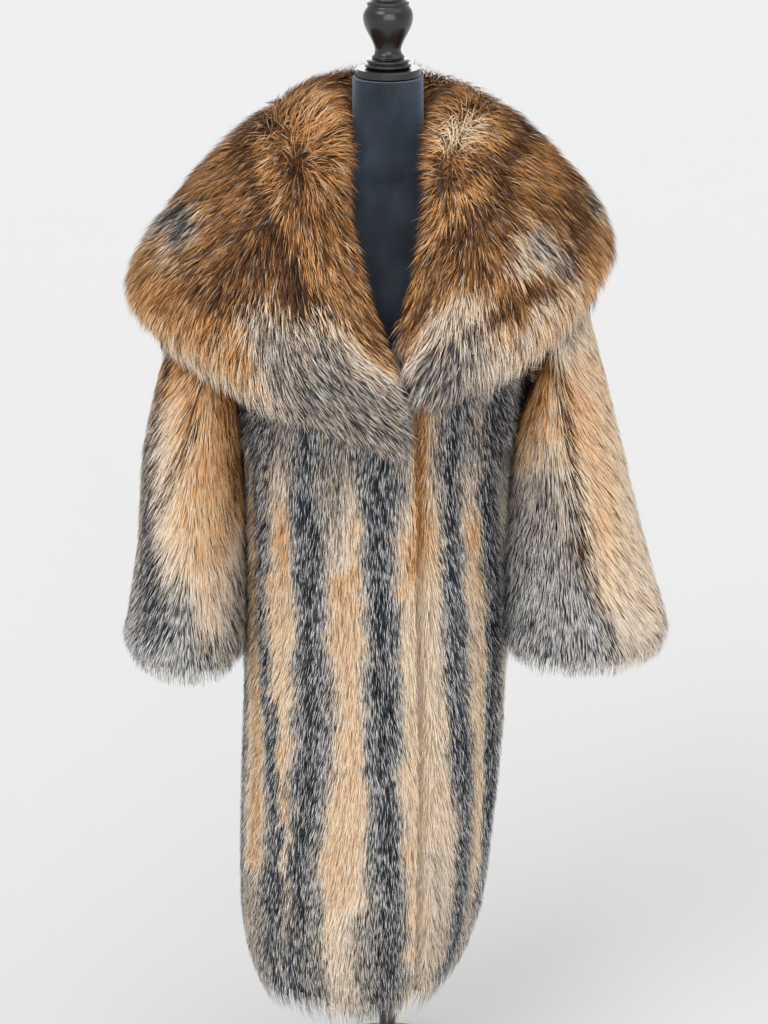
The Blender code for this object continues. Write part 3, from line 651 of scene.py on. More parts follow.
def painted(tone, places, strokes):
    for *line, half_width, paint, share in strokes:
        tone = tone + (paint - tone) * streak_shares(places, ((*line, half_width, share),))
    return tone


# The sleeves' tones: a row for each height, from the head to the cuff, with the tone at places round
# the sleeve from its outer side (0) over its front (0.25) to its inner side (0.5) and back (0.75).
SLEEVE_TURNS = (0.0, 0.12, 0.20, 0.26, 0.31, 0.38, 0.44, 0.50, 0.62, 0.75, 0.88, 1.0)
# The umber and dark rust of the first rows, at the head under the collar, are painted shade from the collar's
# overhang over the sleeve's own orange.
RIGHT_SLEEVE_TONES = (
    (0.0, UMBER, UMBER, RUST, RUST, RUST, RUST, RUST, UMBER, RUST, APRICOT, RUST, UMBER),
    (2.6, 0.93, 0.92, 0.90, 0.86, 0.84, 0.86, 0.88, RUST, RUST, APRICOT, RUST, 0.93),
    (4.2, 0.82, 0.78, 0.70, 0.70, 0.73, 0.77, 0.80, 0.82, APRICOT, 0.72, APRICOT, 0.80),
    (5.4, 0.50, 0.52, 0.62, 0.72, 0.74, 0.75, 0.77, 0.78, APRICOT, PEACH, 0.70, 0.70),
    (6.6, 0.47, 0.48, 0.60, 0.71, 0.72, 0.72, 0.70, 0.70, 0.70, PEACH, 0.60, 0.47),
    (8.0, 0.44, 0.43, 0.47, 0.60, 0.70, 0.69, 0.58, 0.48, TAUPE, 0.48, 0.46, 0.44),
    (9.4, 0.36, 0.35, 0.33, 0.37, 0.60, 0.48, 0.44, 0.40, 0.36, 0.36, 0.36, 0.36),
    (11.0, SILVER, SILVER, SILVER, SILVER, 0.36, 0.43, 0.43, 0.36, SILVER, SILVER, SILVER, SILVER),
    (13.0, SILVER, SILVER, SILVER, SILVER, 0.34, 0.40, 0.42, SILVER, SILVER, SILVER, SILVER, SILVER),
)
# Here too the umber of the first row, from the front to the inner side under the collar, is painted shade
# from the collar's overhang.
LEFT_SLEEVE_TONES = (
    (0.0, 0.45, 0.44, 0.43, 0.43, UMBER, UMBER, UMBER, UMBER, RUST, APRICOT, TAUPE, 0.45),
    (1.4, 0.50, 0.46, 0.43, 0.45, 0.84, 0.83, 0.84, 0.86, RUST, APRICOT, TAUPE, 0.50),
    (2.4, 0.54, 0.47, 0.45, 0.52, 0.77, 0.77, 0.77, 0.78, RUST, APRICOT, 0.60, 0.56),
    (4.3, 0.64, 0.67, 0.70, 0.74, 0.77, 0.77, 0.77, 0.77, APRICOT, PEACH, PEACH, 0.64),
    (5.2, 0.62, 0.66, 0.71, 0.72, 0.50, 0.47, 0.46, 0.46, TAUPE, PEACH, PEACH, 0.62),
    (6.6, 0.60, 0.65, 0.72, 0.47, 0.43, 0.42, 0.40, 0.40, TAUPE, 0.60, CREAM, 0.60),
    (8.0, 0.57, 0.62, 0.66, 0.38, 0.34, 0.31, 0.20, 0.18, SILVER, TAUPE, CREAM, 0.57),
    (9.5, 0.55, 0.59, 0.62, 0.32, 0.30, 0.29, 0.17, 0.15, SILVER, SILVER, 0.50, 0.55),
    (11.0, 0.50, 0.52, 0.50, SILVER, SILVER, SILVER, 0.24, 0.20, SILVER, SILVER, TAUPE, 0.50),
    (13.0, 0.47, 0.48, 0.46, SILVER, SILVER, SILVER, SILVER, SILVER, SILVER, SILVER, TAUPE, 0.47),
)
# Dark streaks: turn and row of their ends, half width in turns, and share of dark hairs.
# They are partly the skins' dark seam lines and partly painted shade: in the sleeve's folds along its
# creases, down its inner side against the body, and under the collar.
RIGHT_SLEEVE_DARK_LINES_AND_SHADE = (
    (0.26, 3.4, 0.25, 4.6, 0.008, 0.60), (0.25, 4.6, 0.20, 6.4, 0.010, 0.70),
    (0.41, 4.4, 0.42, 5.2, 0.010, 0.70), (0.42, 5.2, 0.38, 7.6, 0.014, 0.50),
    (0.08, 4.4, 0.16, 9.6, 0.050, 0.66), (0.50, 0.0, 0.50, 13.0, 0.030, 0.55),
    (0.30, 9.6, 0.33, 12.0, 0.008, 0.55), (0.14, 1.5, 0.06, 3.6, 0.040, 0.60),
    (0.70, 4.0, 0.76, 9.0, 0.020, 0.50), (0.90, 3.0, 0.86, 10.0, 0.020, 0.45),
)
LEFT_SLEEVE_DARK_LINES_AND_SHADE = (
    (0.31, 0.8, 0.27, 3.6, 0.006, 0.75), (0.27, 3.6, 0.255, 5.6, 0.009, 0.85),
    (0.255, 5.6, 0.22, 7.1, 0.008, 0.70), (0.25, 6.6, 0.235, 7.6, 0.016, 0.80),
    (0.22, 7.4, 0.215, 11.2, 0.006, 0.80), (0.44, 0.4, 0.38, 1.2, 0.030, 0.45),
    (0.31, 6.0, 0.29, 8.2, 0.010, 0.45), (0.50, 0.0, 0.50, 13.0, 0.030, 0.60),
    (0.38, 10.0, 0.30, 12.8, 0.030, 0.35), (0.10, 4.0, 0.16, 9.0, 0.012, 0.25),
    (0.70, 4.0, 0.76, 9.0, 0.020, 0.50), (0.90, 3.0, 0.86, 10.0, 0.020, 0.35),
)


# How far a streak is full, and how much further it fades, in half widths.
STREAK_CORE, STREAK_FADE = 0.4, 1.3


def streak_shares(places, streaks):
    """How much of its last number a streak gives at places, soft-edged round its line."""
    share = np.zeros(len(places))
    for u0, v0, u1, v1, half_width, most in streaks:
        a, b = np.array((u0, v0)), np.array((u1, v1))
        part = np.clip(((places - a) @ (b - a)) / max((b - a) @ (b - a), 1e-9), 0, 1)
        away = np.linalg.norm(places - a - part[:, None] * (b - a), axis=1)
        share = np.maximum(share, most * below(away, STREAK_CORE * half_width, STREAK_FADE * half_width))
    return share


SLEEVE_ROW_TURNS = 0.052


# The sleeve's waves and jitter, in turns and in rows, and its shares of dark and pale hairs.
TURN_WAVES, TURN_JITTER, ROW_WAVES, ROW_JITTER = (0.09, 0.012), 0.008, (0.05, 0.35), 0.35
SLEEVE_DARK, SLEEVE_COOL_DARK = 0.03, 0.15
SLEEVE_PALE, SLEEVE_COOL_PALE, SLEEVE_PALE_LOST = 0.03, 0.34, 0.7


def wavered(marks, points, waved, jitter, seed, rng):
    """The marks with waves of a size and height over the points, and a jitter of their own."""
    size, height = waved
    return marks + waves(points, size, seed) * height + rng.normal(0, jitter, len(marks))


def sleeve_places(turn, row):
    return np.stack((turn, row * SLEEVE_ROW_TURNS), axis=1)


def sleeve_pigment(table, streaks):
    def pigment(marks, points, seed):
        rng = np.random.default_rng(seed + 7)
        turn = wavered(marks[:, 0], points, TURN_WAVES, TURN_JITTER, seed, rng) % 1.0
        row = wavered(marks[:, 1], points, ROW_WAVES, ROW_JITTER, seed + 1, rng)
        rows = np.array([np.interp(turn, SLEEVE_TURNS, entry[1:]) for entry in table])
        places = np.array([entry[0] for entry in table])
        upper = np.clip(np.searchsorted(places, row, side="right") - 1, 0, len(places) - 2)
        part = above(row, places[upper], places[upper + 1] - places[upper])
        pick = np.arange(len(row))
        tone = rows[upper, pick] * (1 - part) + rows[upper + 1, pick] * part
        # The dark hairs of the streaks, which carry painted shade in the folds, against the body and under
        # the collar.
        dark = streak_shares(sleeve_places(turn, row), scaled(streaks, 1.0, SLEEVE_ROW_TURNS))
        cool = below(tone, *COOL_TONES)
        pale = SLEEVE_PALE + SLEEVE_COOL_PALE * cool * (1 - SLEEVE_PALE_LOST * dark)
        return tone, np.maximum(dark, SLEEVE_DARK + SLEEVE_COOL_DARK * cool), pale

    return pigment


# The collar's tones from the neck seam (profile 0) over the crest to its edge (profile 5), round the
# shoulders and back, and on its front end.
COLLAR_LINE = (
    (0.0, UMBER), (0.8, 0.89), (1.5, 0.84), (2.1, 0.82), (2.6, 0.87), (3.2, 0.87), (3.8, 0.84),
    (4.2, 0.74), (4.6, 0.62), (5.0, 0.46),
)
COLLAR_FRONT_LINE = (
    (0.0, UMBER), (0.9, 0.88), (1.5, 0.83), (2.3, 0.82), (2.8, 0.84), (3.2, 0.56), (3.7, 0.44),
    (4.3, 0.42), (4.7, 0.46), (5.0, 0.43),
)
FRONT_STATIONS = (1.0, 2.3)


def chained(*chains):
    """A row for each part of some chains of points: its two ends, and what its second end adds.

    A chain starts with a bare point. Each further point adds the half width of the part that ends there,
    then a tone and how much of it shows, or the share of dark hairs.
    """
    return [(*start[:2], *end) for chain in chains for start, end in zip(chain, chain[1:])]


# Strokes: profile, station, half width in metres, the tone, and how much of it shows.
RIGHT_STROKES = chained(
    ((2.50, 2.60), (2.23, 1.90, 0.024, 0.84, 0.70), (2.18, 0.70, 0.024, 0.84, 0.70)),
    ((2.70, 3.90), (2.93, 3.40, 0.014, 0.80, 0.90), (3.00, 2.85, 0.012, 0.79, 0.90),
     (2.80, 1.96, 0.013, 0.77, 0.95), (2.70, 1.20, 0.011, 0.79, 0.90)),
    ((3.16, 4.60), (3.20, 3.50, 0.022, 0.81, 0.70)), ((3.30, 3.10), (3.30, 1.70, 0.018, 0.90, 0.80)),
    ((3.50, 4.60), (3.66, 3.60, 0.012, 0.20, 0.65), (3.72, 2.60, 0.016, 0.86, 0.70)),
    ((3.90, 3.80), (3.98, 3.20, 0.016, 0.80, 0.85), (4.06, 2.40, 0.014, 0.78, 0.85)),
    ((3.70, 2.10), (3.60, 1.20, 0.020, 0.46, 0.75)), ((3.95, 1.70), (4.20, 0.60, 0.022, 0.45, 0.80)),
    ((2.00, 4.40), (1.90, 3.40, 0.018, 0.70, 0.60)), ((3.60, 4.70), (3.70, 8.00, 0.014, 0.30, 0.60)),
    ((2.95, 4.60), (3.05, 8.00, 0.014, 0.80, 0.80)),
)
LEFT_STROKES = chained(
    ((2.30, 3.90), (2.05, 3.30, 0.022, 0.60, 0.85)), ((2.50, 4.40), (2.60, 3.70, 0.014, 0.78, 0.85)),
    ((2.74, 3.10), (2.48, 2.20, 0.012, 0.78, 0.90), (2.23, 1.53, 0.011, 0.78, 0.95),
     (1.90, 0.90, 0.010, 0.79, 0.90)),
    ((3.05, 4.40), (3.06, 3.20, 0.018, 0.81, 0.80)), ((2.95, 2.60), (3.00, 1.70, 0.018, 0.88, 0.80)),
    ((3.38, 2.50), (3.46, 3.00, 0.013, 0.48, 0.70), (3.74, 3.25, 0.012, 0.36, 0.80)),
    ((3.88, 4.50), (3.92, 3.80, 0.012, 0.80, 0.80)), ((4.03, 3.45), (4.13, 3.00, 0.013, 0.66, 0.90)),
    ((4.00, 2.60), (4.20, 1.90, 0.018, 0.60, 0.90), (4.35, 1.30, 0.014, 0.58, 0.85)),
    ((2.70, 0.80), (2.60, 0.50, 0.012, 0.90, 0.70)), ((3.15, 1.20), (3.05, 0.70, 0.012, 0.52, 0.70)),
    ((3.30, 1.70), (3.15, 1.20, 0.012, 0.60, 0.60)), ((3.60, 4.70), (3.70, 8.00, 0.014, 0.30, 0.60)),
    ((2.95, 4.60), (3.05, 8.00, 0.014, 0.80, 0.80)),
)
# Dark streaks: profile, station, half width in metres, and share of dark hairs.
RIGHT_STREAKS = chained(
    ((2.80, 4.80), (2.92, 4.10, 0.006, 0.85), (3.08, 3.40, 0.007, 0.90), (3.15, 2.90, 0.008, 0.90),
     (3.08, 2.50, 0.007, 0.90), (3.10, 1.96, 0.008, 0.90), (3.03, 1.30, 0.010, 0.85),
     (2.85, 0.60, 0.010, 0.60)),
    ((3.30, 1.90), (3.32, 1.50, 0.014, 0.80)),
    ((3.45, 4.70), (3.58, 4.10, 0.010, 0.85), (3.68, 3.10, 0.009, 0.70), (3.72, 2.50, 0.010, 0.75),
     (3.62, 2.00, 0.009, 0.60)),
    ((3.35, 1.15), (3.50, 0.70, 0.008, 0.65)), ((3.95, 1.50), (4.25, 0.60, 0.008, 0.45)),
    ((2.80, 4.80), (2.90, 8.00, 0.009, 0.80)), ((3.60, 4.70), (3.80, 8.00, 0.009, 0.70)),
    ((1.60, 5.00), (1.70, 8.00, 0.008, 0.60)),
)
LEFT_STREAKS = chained(
    ((2.72, 4.80), (2.77, 3.90, 0.006, 0.85), (2.84, 3.40, 0.008, 0.90), (2.91, 3.00, 0.009, 0.90),
     (2.72, 2.49, 0.008, 0.90), (2.57, 2.01, 0.009, 0.80), (2.43, 1.53, 0.009, 0.75),
     (2.20, 1.00, 0.009, 0.70)),
    ((3.50, 4.90), (3.60, 4.50, 0.008, 0.80), (3.64, 3.80, 0.007, 0.85), (3.80, 3.40, 0.008, 0.80),
     (3.84, 2.85, 0.008, 0.80), (3.69, 2.44, 0.007, 0.85), (3.58, 2.01, 0.007, 0.85),
     (3.52, 1.40, 0.008, 0.80), (3.45, 0.50, 0.009, 0.75)),
    ((2.70, 0.90), (2.60, 0.50, 0.010, 0.60)), ((2.72, 4.80), (2.90, 8.00, 0.009, 0.80)),
    ((3.60, 4.80), (3.80, 8.00, 0.009, 0.70)), ((1.60, 5.00), (1.70, 8.00, 0.008, 0.60)),
)
RIGHT_WHORL, LEFT_WHORL = (2.48, 3.20), (2.14, 2.62)
PROFILE_METRES, STATION_METRES = 0.085, 0.075


# Round a whorl: the dark spot, and above it the paler crown, with ranges in metres as in below().
SPOT_RANGE, SPOT_TONE, SPOT_SHARE = (0.006, 0.022), 0.89, 0.85
CROWN_RANGE, CROWN_TONE, CROWN_SHARE = (0.02, 0.05), 0.74, 0.6
COLLAR_COOL = (0.42, 0.20)
BROWNED_ABOVE, BROWNED_BELOW = (0.79, 0.04), (0.93, 0.03)
PROFILE_WAVES, PROFILE_JITTER, STATION_WAVES, STATION_JITTER = (0.08, 0.08), 0.05, (0.08, 0.10), 0.10
# Shares of dark hairs: everywhere, where it is cool, and in the spot. Then those of pale hairs.
COLLAR_DARK, COLLAR_COOL_DARK, SPOT_DARK = 0.26, 0.20, 0.50
COLLAR_PALE, COLLAR_COOL_PALE, BROWNED_PALE, COLLAR_PALE_LOST = 0.02, 0.13, 0.08, 0.85


def collar_pigment(strokes, streaks, whorl):
    def pigment(marks, points, seed):
        rng = np.random.default_rng(seed + 7)
        profile = wavered(marks[:, 0], points, PROFILE_WAVES, PROFILE_JITTER, seed, rng)
        station = wavered(marks[:, 1], points, STATION_WAVES, STATION_JITTER, seed + 1, rng)
        front = below(station, FRONT_STATIONS[0], FRONT_STATIONS[1] - FRONT_STATIONS[0])
        tone = table_value(COLLAR_LINE, profile) * (1 - front)
        tone = tone + table_value(COLLAR_FRONT_LINE, profile) * front
        here = np.stack((profile * PROFILE_METRES, station * STATION_METRES), axis=1)
        tone = painted(tone, here, scaled(strokes, PROFILE_METRES, STATION_METRES))
        centre = np.array((whorl[0] * PROFILE_METRES, whorl[1] * STATION_METRES))
        away = np.linalg.norm(here - centre, axis=1)
        spot = below(away, *SPOT_RANGE)
        crown = below(away, *CROWN_RANGE) * (profile < whorl[0])
        tone = tone + (CROWN_TONE - tone) * CROWN_SHARE * crown
        tone = tone + (SPOT_TONE - tone) * SPOT_SHARE * spot
        cool = below(tone, *COLLAR_COOL)
        dark = streak_shares(here, scaled(streaks, PROFILE_METRES, STATION_METRES))
        dark = np.maximum(dark, np.maximum(COLLAR_DARK + COLLAR_COOL_DARK * cool, SPOT_DARK * spot))
        browned = above(tone, *BROWNED_ABOVE) * below(tone, *BROWNED_BELOW)
        pale = COLLAR_PALE + COLLAR_COOL_PALE * cool * (1 - spot) + BROWNED_PALE * browned
        return tone, dark, pale * (1 - COLLAR_PALE_LOST * dark)

    return pigment


def hair_tones(fields, agouti, rng):
    """Each hair's own pigment, from the tone and the shares of dark and pale hairs where it grows.

    Where agouti is set, pale hairs among warm ones have a dark root and tip and only a pale band.
    """
    tone, dark, pale = fields
    warm = tone > WARM_FROM
    draw = rng.random(len(tone))
    within = rng.random(len(tone))

    def between(warm_range, cool_range):
        return np.where(warm, *(low + (high - low) * within for low, high in (warm_range, cool_range)))

    own = tone + rng.normal(0, OWN_TONE, len(tone))
    own = np.where(draw < dark, between(DARK_WARM, DARK_COOL), own)
    return np.where(draw > 1 - pale, between(AGOUTI if agouti else PALE_WARM, PALE_COOL), own)


# ---------------------------------------------------------------- materials


def ramp(tree, stops, x):
    node = tree.nodes.new("ShaderNodeValToRGB")
    elements = node.color_ramp.elements
    while len(elements) > 1:
        elements.remove(elements[-1])
    for k, (place, color) in enumerate(stops):
        element = elements[0] if k == 0 else elements.new(place)
        element.position = place
        element.color = (*color, 1)
    tree.links.new(x, node.inputs["Fac"])
    return node.outputs["Color"]


def mixed(tree, share, a, b, blend="MIX"):
    node = tree.nodes.new("ShaderNodeMix")
    node.data_type, node.blend_type = "RGBA", blend
    for socket, value in ((node.inputs[0], share), (node.inputs[6], a), (node.inputs[7], b)):
        if isinstance(value, bpy.types.NodeSocket):
            tree.links.new(value, socket)
        else:
            socket.default_value = value
    return node.outputs[2]


def span(tree, x, low, high):
    """0 below low, 1 above high, and eased between them."""
    node = tree.nodes.new("ShaderNodeMapRange")
    node.interpolation_type = "SMOOTHSTEP"
    node.inputs["From Min"].default_value = low
    node.inputs["From Max"].default_value = high
    tree.links.new(x, node.inputs["Value"])
    return node.outputs["Result"]


def new_material(name, roughness, specular=0.5, **sockets):
    made = bpy.data.materials.new(name)
    made.use_nodes = True
    shader = made.node_tree.nodes["Principled BSDF"]
    shader.inputs["Roughness"].default_value = roughness
    shader.inputs["Specular IOR Level"].default_value = specular
    for socket, value in sockets.items():
        shader.inputs[socket.replace("_", " ")].default_value = value
    return made, made.node_tree, shader


def noise(tree, scale, detail=4.0, stretch=(1, 1, 1)):
    coordinates = tree.nodes.new("ShaderNodeTexCoord")
    mapping = tree.nodes.new("ShaderNodeMapping")
    mapping.inputs["Scale"].default_value = stretch
    tree.links.new(coordinates.outputs["Object"], mapping.inputs["Vector"])
    node = tree.nodes.new("ShaderNodeTexNoise")
    node.inputs["Scale"].default_value = scale
    node.inputs["Detail"].default_value = detail
    tree.links.new(mapping.outputs["Vector"], node.inputs["Vector"])
    return node.outputs["Fac"]


def bumped(tree, shader, height, strength, distance):
    node = tree.nodes.new("ShaderNodeBump")
    node.inputs["Strength"].default_value = strength
    node.inputs["Distance"].default_value = distance
    tree.links.new(height, node.inputs["Height"])
    tree.links.new(node.outputs["Normal"], shader.inputs["Normal"])


# Where on a hair, from its root to its tip, its colour turns into the band's and then the tip's.
BAND_FROM, TIP_FROM = (0.24, 0.50), (0.66, 0.86)
HAIR_MAP, PELT_MAP = "OFBake", "pigment"


def pigment_color(tree, uv_name):
    """The hair's colour from a UV map whose U is the pigment and whose V runs from root to tip."""
    uv = tree.nodes.new("ShaderNodeUVMap")
    uv.uv_map = uv_name
    parts = tree.nodes.new("ShaderNodeSeparateXYZ")
    tree.links.new(uv.outputs["UV"], parts.inputs["Vector"])
    pigment, height = parts.outputs["X"], parts.outputs["Y"]
    root, band, tip = (ramp(tree, [(row[0], row[k]) for row in PIGMENTS], pigment) for k in (1, 2, 3))
    lower = mixed(tree, span(tree, height, *BAND_FROM), root, band)
    return mixed(tree, span(tree, height, *TIP_FROM), lower, tip)


def hair_material():
    made, tree, shader = new_material("fur_hair", 0.55, 0.14)
    tree.links.new(pigment_color(tree, HAIR_MAP), shader.inputs["Base Color"])
    return made


def pelt_material():
    made, tree, shader = new_material("fur_pelt", 0.9, 0.1)
    fuzz = noise(tree, 900.0, 3.0, (1, 1, 0.25))
    darker = mixed(tree, fuzz, (0.25, 0.25, 0.25, 1), (0.8, 0.8, 0.8, 1))
    color = mixed(tree, 1.0, pigment_color(tree, PELT_MAP), darker, "MULTIPLY")
    tree.links.new(color, shader.inputs["Base Color"])
    bumped(tree, shader, fuzz, 0.6, 0.002)
    return made


def mottled(name, finish, pattern, dark, pale, bump=None, contrast=None, relief=None, **sockets):
    """A material in two tones over a noise; its bump follows relief, or the same noise without it."""
    made, tree, shader = new_material(name, *finish, **sockets)
    share = noise(tree, *pattern)
    if bump:
        bumped(tree, shader, noise(tree, *relief) if relief else share, *bump)
    if contrast:
        share = span(tree, share, *contrast)
    tree.links.new(mixed(tree, share, (*dark, 1), (*pale, 1)), shader.inputs["Base Color"])
    return made


def lining_material():
    return mottled(
        "lining_satin", (0.38, 0.4), (700.0, 2.0, (1, 1, 0.15)), (0.030, 0.018, 0.012),
        (0.055, 0.035, 0.024), bump=(0.2, 0.0004), Sheen_Weight=0.3,
    )


def velvet_material():
    # The paler teal over the noise is painted sheen: lighter patches of the crushed nap over the velvet's own
    # near-black.
    return mottled(
        "black_velvet", (0.8, 0.25), (9.0, 6.0, (1, 1, 0.6)), (0.006, 0.009, 0.014), (0.032, 0.044, 0.062),
        bump=(0.4, 0.0006), contrast=(0.35, 0.65), relief=(1400.0, 2.0),
        Sheen_Weight=0.55, Sheen_Roughness=0.45, Sheen_Tint=(0.60, 0.74, 0.92, 1),
    )


def paint_material():
    return mottled(
        "black_lacquer", (0.28, 0.5), (60.0, 4.0, (1, 1, 0.2)), (0.004, 0.004, 0.005),
        (0.009, 0.009, 0.010), bump=(0.08, 0.0005), Coat_Weight=0.4, Coat_Roughness=0.12,
    )


# ---------------------------------------------------------------- pelts and hair


def new_object(name, mesh, *materials):
    made = bpy.data.objects.new(name, mesh)
    bpy.context.scene.collection.objects.link(made)
    for material in materials:
        mesh.materials.append(material)
    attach(made, "root")
    return made


PELT_STEPS = 2
# How high on a hair the pelt takes its colour, and the share of dark hairs that makes it dark.
PELT_HEIGHT, PELT_DARK_FROM = 0.40, 0.5


def pelt_grid(piece, trims):
    """Rows, columns and numbers of the pelt's points on the piece."""
    first_r, last_r, first_c, last_c = trims
    rows = np.linspace(first_r, piece.rows - 1 - last_r, PELT_STEPS * (piece.rows - 1))
    if piece.closed:
        columns = np.arange(piece.columns * PELT_STEPS) / PELT_STEPS
    else:
        columns = np.linspace(first_c, piece.columns - 1 - last_c, PELT_STEPS * (piece.columns - 1))
    r, c = np.meshgrid(rows, columns, indexing="ij")
    return r.ravel(), c.ravel(), np.arange(r.size).reshape(r.shape)


def make_pelt(name, piece, look, trims, materials, seed):
    """A thin closed shell under the piece's outer face, cut back from its free edges by trims."""
    r, c, index = pelt_grid(piece, trims)
    count = len(r)
    marks = piece.marks_at(r, c)
    skins = [piece.place(r, c, look["depth"](marks) + extra)[0] for extra in (0.0, look["pelt"])]
    tone, dark, _ = look["pigment"](marks, skins[0], seed)
    tones = np.where(dark < PELT_DARK_FROM, tone, np.where(tone > WARM_FROM, UMBER, BLACK))
    over = np.roll(index, -1, axis=1) if piece.closed else index[:, 1:]
    here = index if piece.closed else index[:, :-1]
    quads = np.stack((here[:-1], over[:-1], over[1:], here[1:]), axis=-1).reshape(-1, 4)
    rims = [strip(index[0], count, piece.closed), strip(index[-1][::-1], count, piece.closed)]
    if not piece.closed:
        rims += [strip(index[:, 0][::-1], count, False), strip(index[:, -1], count, False)]
    faces = np.concatenate([quads, quads[:, ::-1] + count, *rims])
    mesh = bpy.data.meshes.new(name)
    mesh.from_pydata(np.concatenate(skins).tolist(), [], faces.tolist())
    loops = np.array([loop.vertex_index for loop in mesh.loops])
    uv = np.stack((tones[loops % count], np.full(len(loops), PELT_HEIGHT)), axis=1)
    mesh.uv_layers.new(name=PELT_MAP).data.foreach_set("uv", uv.ravel())
    for k in range(len(quads), 2 * len(quads)):
        mesh.polygons[k].material_index = 1
    made_mesh = bmesh.new()
    made_mesh.from_mesh(mesh)
    bmesh.ops.recalc_face_normals(made_mesh, faces=made_mesh.faces)
    if made_mesh.calc_volume(signed=True) < 0:
        bmesh.ops.reverse_faces(made_mesh, faces=made_mesh.faces)
    made_mesh.to_mesh(mesh)
    made_mesh.free()
    mesh.shade_smooth()
    return new_object(name, mesh, *materials)


def strip(ring, count, closed):
    """Quads that join a line of points on the outer skin to the same line on the inner one."""
    ahead = np.roll(ring, -1) if closed else ring[1:]
    ring = ring if closed else ring[:-1]
    return np.stack((ahead, ring, ring + count, ahead + count), axis=-1)


def scatter(piece, count, trims, density, rng):
    """Random rows and columns on a piece, as dense per area as density says."""
    first_r, last_r, first_c, last_c = trims
    fine = 4
    rows = np.linspace(first_r, piece.rows - 1 - last_r, fine * piece.rows)
    end = piece.columns if piece.closed else piece.columns - 1
    columns = np.linspace(first_c, end - last_c, fine * piece.columns)
    r, c = np.meshgrid(rows, columns, indexing="ij")
    points = piece.read(piece.outer, r, c)
    by_row = points[1:, :-1] - points[:-1, :-1]
    by_column = points[:-1, 1:] - points[:-1, :-1]
    area = np.linalg.norm(np.cross(by_row, by_column), axis=-1)
    middle_r, middle_c = r[:-1, :-1].ravel(), c[:-1, :-1].ravel()
    middle = piece.read(piece.outer, middle_r, middle_c)
    weight = area.ravel() * density(piece.marks_at(middle_r, middle_c), middle)
    cells = rng.choice(len(weight), size=count, p=weight / weight.sum())
    height, width = rows[1] - rows[0], columns[1] - columns[0]
    return middle_r[cells] + rng.random(count) * height, middle_c[cells] + rng.random(count) * width


HAIR_STEPS = (0.0, 0.5, 1.0)
# Where along its length a hair takes its colour from what lies beneath, and how much of its shading it
# takes from the fur's surface and not from its own turn.
SHOWN_SHARE, SOFT_SHARE = 0.55, 0.82
# Ranges that hairs are drawn from: a lock's length, and a hair's length, lift and width in its lock's.
LOCK_LENGTHS, HAIR_LENGTHS = (0.85, 1.15), (0.75, 1.15)
HAIR_LIFTS, HAIR_WIDTHS = (0.7, 1.15), (0.7, 1.25)
GUARD_LIFT, HIGHEST_LIFT = 1.15, 1.25
TWIST = 0.6
# How a hair rises and bends from its root to its tip, and how its lean towards its lock's middle grows.
RISE, RISE_EASE, BEND, GATHER_BEND = 1.9, 0.9, 1.15, 1.5
LOCK_WAVE = 0.06
LEAST_PIGMENT, MOST_PIGMENT = 0.004, 0.996


def nearest_lock(surface, chosen):
    """For each hair, the lock whose middle is nearest."""
    tree = KDTree(len(chosen))
    for k, index in enumerate(chosen):
        tree.insert(Vector(surface[index]), k)
    tree.balance()
    return np.array([tree.find(Vector(point))[1] for point in surface])


def make_hair(name, piece, look, trims, count, material, seed):
    """A coat of tapered ribbons on a piece, which lean in towards the middle of their lock."""
    rng = np.random.default_rng(seed)
    r, c = scatter(piece, count, trims, look["density"], rng)
    marks = piece.marks_at(r, c)
    root, normal, by_row, by_column = piece.place(r, c, look["depth"](marks))
    surface = piece.read(piece.outer, r, c)
    way = look["flow"](marks, surface, by_row, by_column, seed)
    way = units(way - dots(way, normal) * normal)
    side = np.cross(normal, way)
    locks = max(count // look["lock"], 1)
    chosen = rng.choice(count, size=locks, replace=False)
    lock = nearest_lock(surface, chosen)
    lock_turn = rng.normal(0, look["lock_turn"], locks)
    lock_lift = rng.uniform(*look["lock_lift"], locks)
    lock_tone = rng.normal(0, look["lock_tone"], locks)
    lock_length = rng.uniform(*LOCK_LENGTHS, locks)
    turn = lock_turn[lock] + waves(surface, LOCK_WAVE, seed + 5) * look["wave"]
    turn = turn + rng.normal(0, look["turn"], count)
    way = way * np.cos(turn)[:, None] + side * np.sin(turn)[:, None]
    length = look["length"](marks) * lock_length[lock] * rng.uniform(*HAIR_LENGTHS, count)
    gather = surface[chosen][lock] - surface
    gather -= dots(gather, normal) * normal
    lift = lock_lift[lock] * rng.uniform(*HAIR_LIFTS, count)
    guard = rng.random(count) < look["guard"]
    lift = np.where(guard, lift * GUARD_LIFT, lift)
    loft = dots(surface - root, normal) * look["swell"](marks, surface)[:, None]
    loft = loft - look["crease"](marks, surface)[:, None]
    centres = []
    for step in HAIR_STEPS:
        rise = np.minimum(lift * (RISE * step - RISE_EASE * step**2), HIGHEST_LIFT)
        ahead = way * (length * step**BEND)[:, None]
        inward = gather * (look["gather"] * step**GATHER_BEND)
        centre = root + ahead + normal * loft * rise[:, None] + inward
        centre[:, 2] -= look["droop"] * length * step**2
        centres.append(centre)
    twist = rng.normal(0, TWIST, count)
    across = units(np.cross(way, normal)) * np.cos(twist)[:, None] + normal * np.sin(twist)[:, None]
    half = look["width"] / 2 * rng.uniform(*HAIR_WIDTHS, count)
    places = shown(piece, r, c, way * length[:, None] * SHOWN_SHARE)
    tone, dark, pale = look["pigment"](*places, seed)
    own = hair_tones((tone + lock_tone[lock], dark, pale), look["agouti"], rng)
    own = np.clip(own, LEAST_PIGMENT, MOST_PIGMENT)
    return ribbon_mesh(name, centres, across, half, normal, own, material)


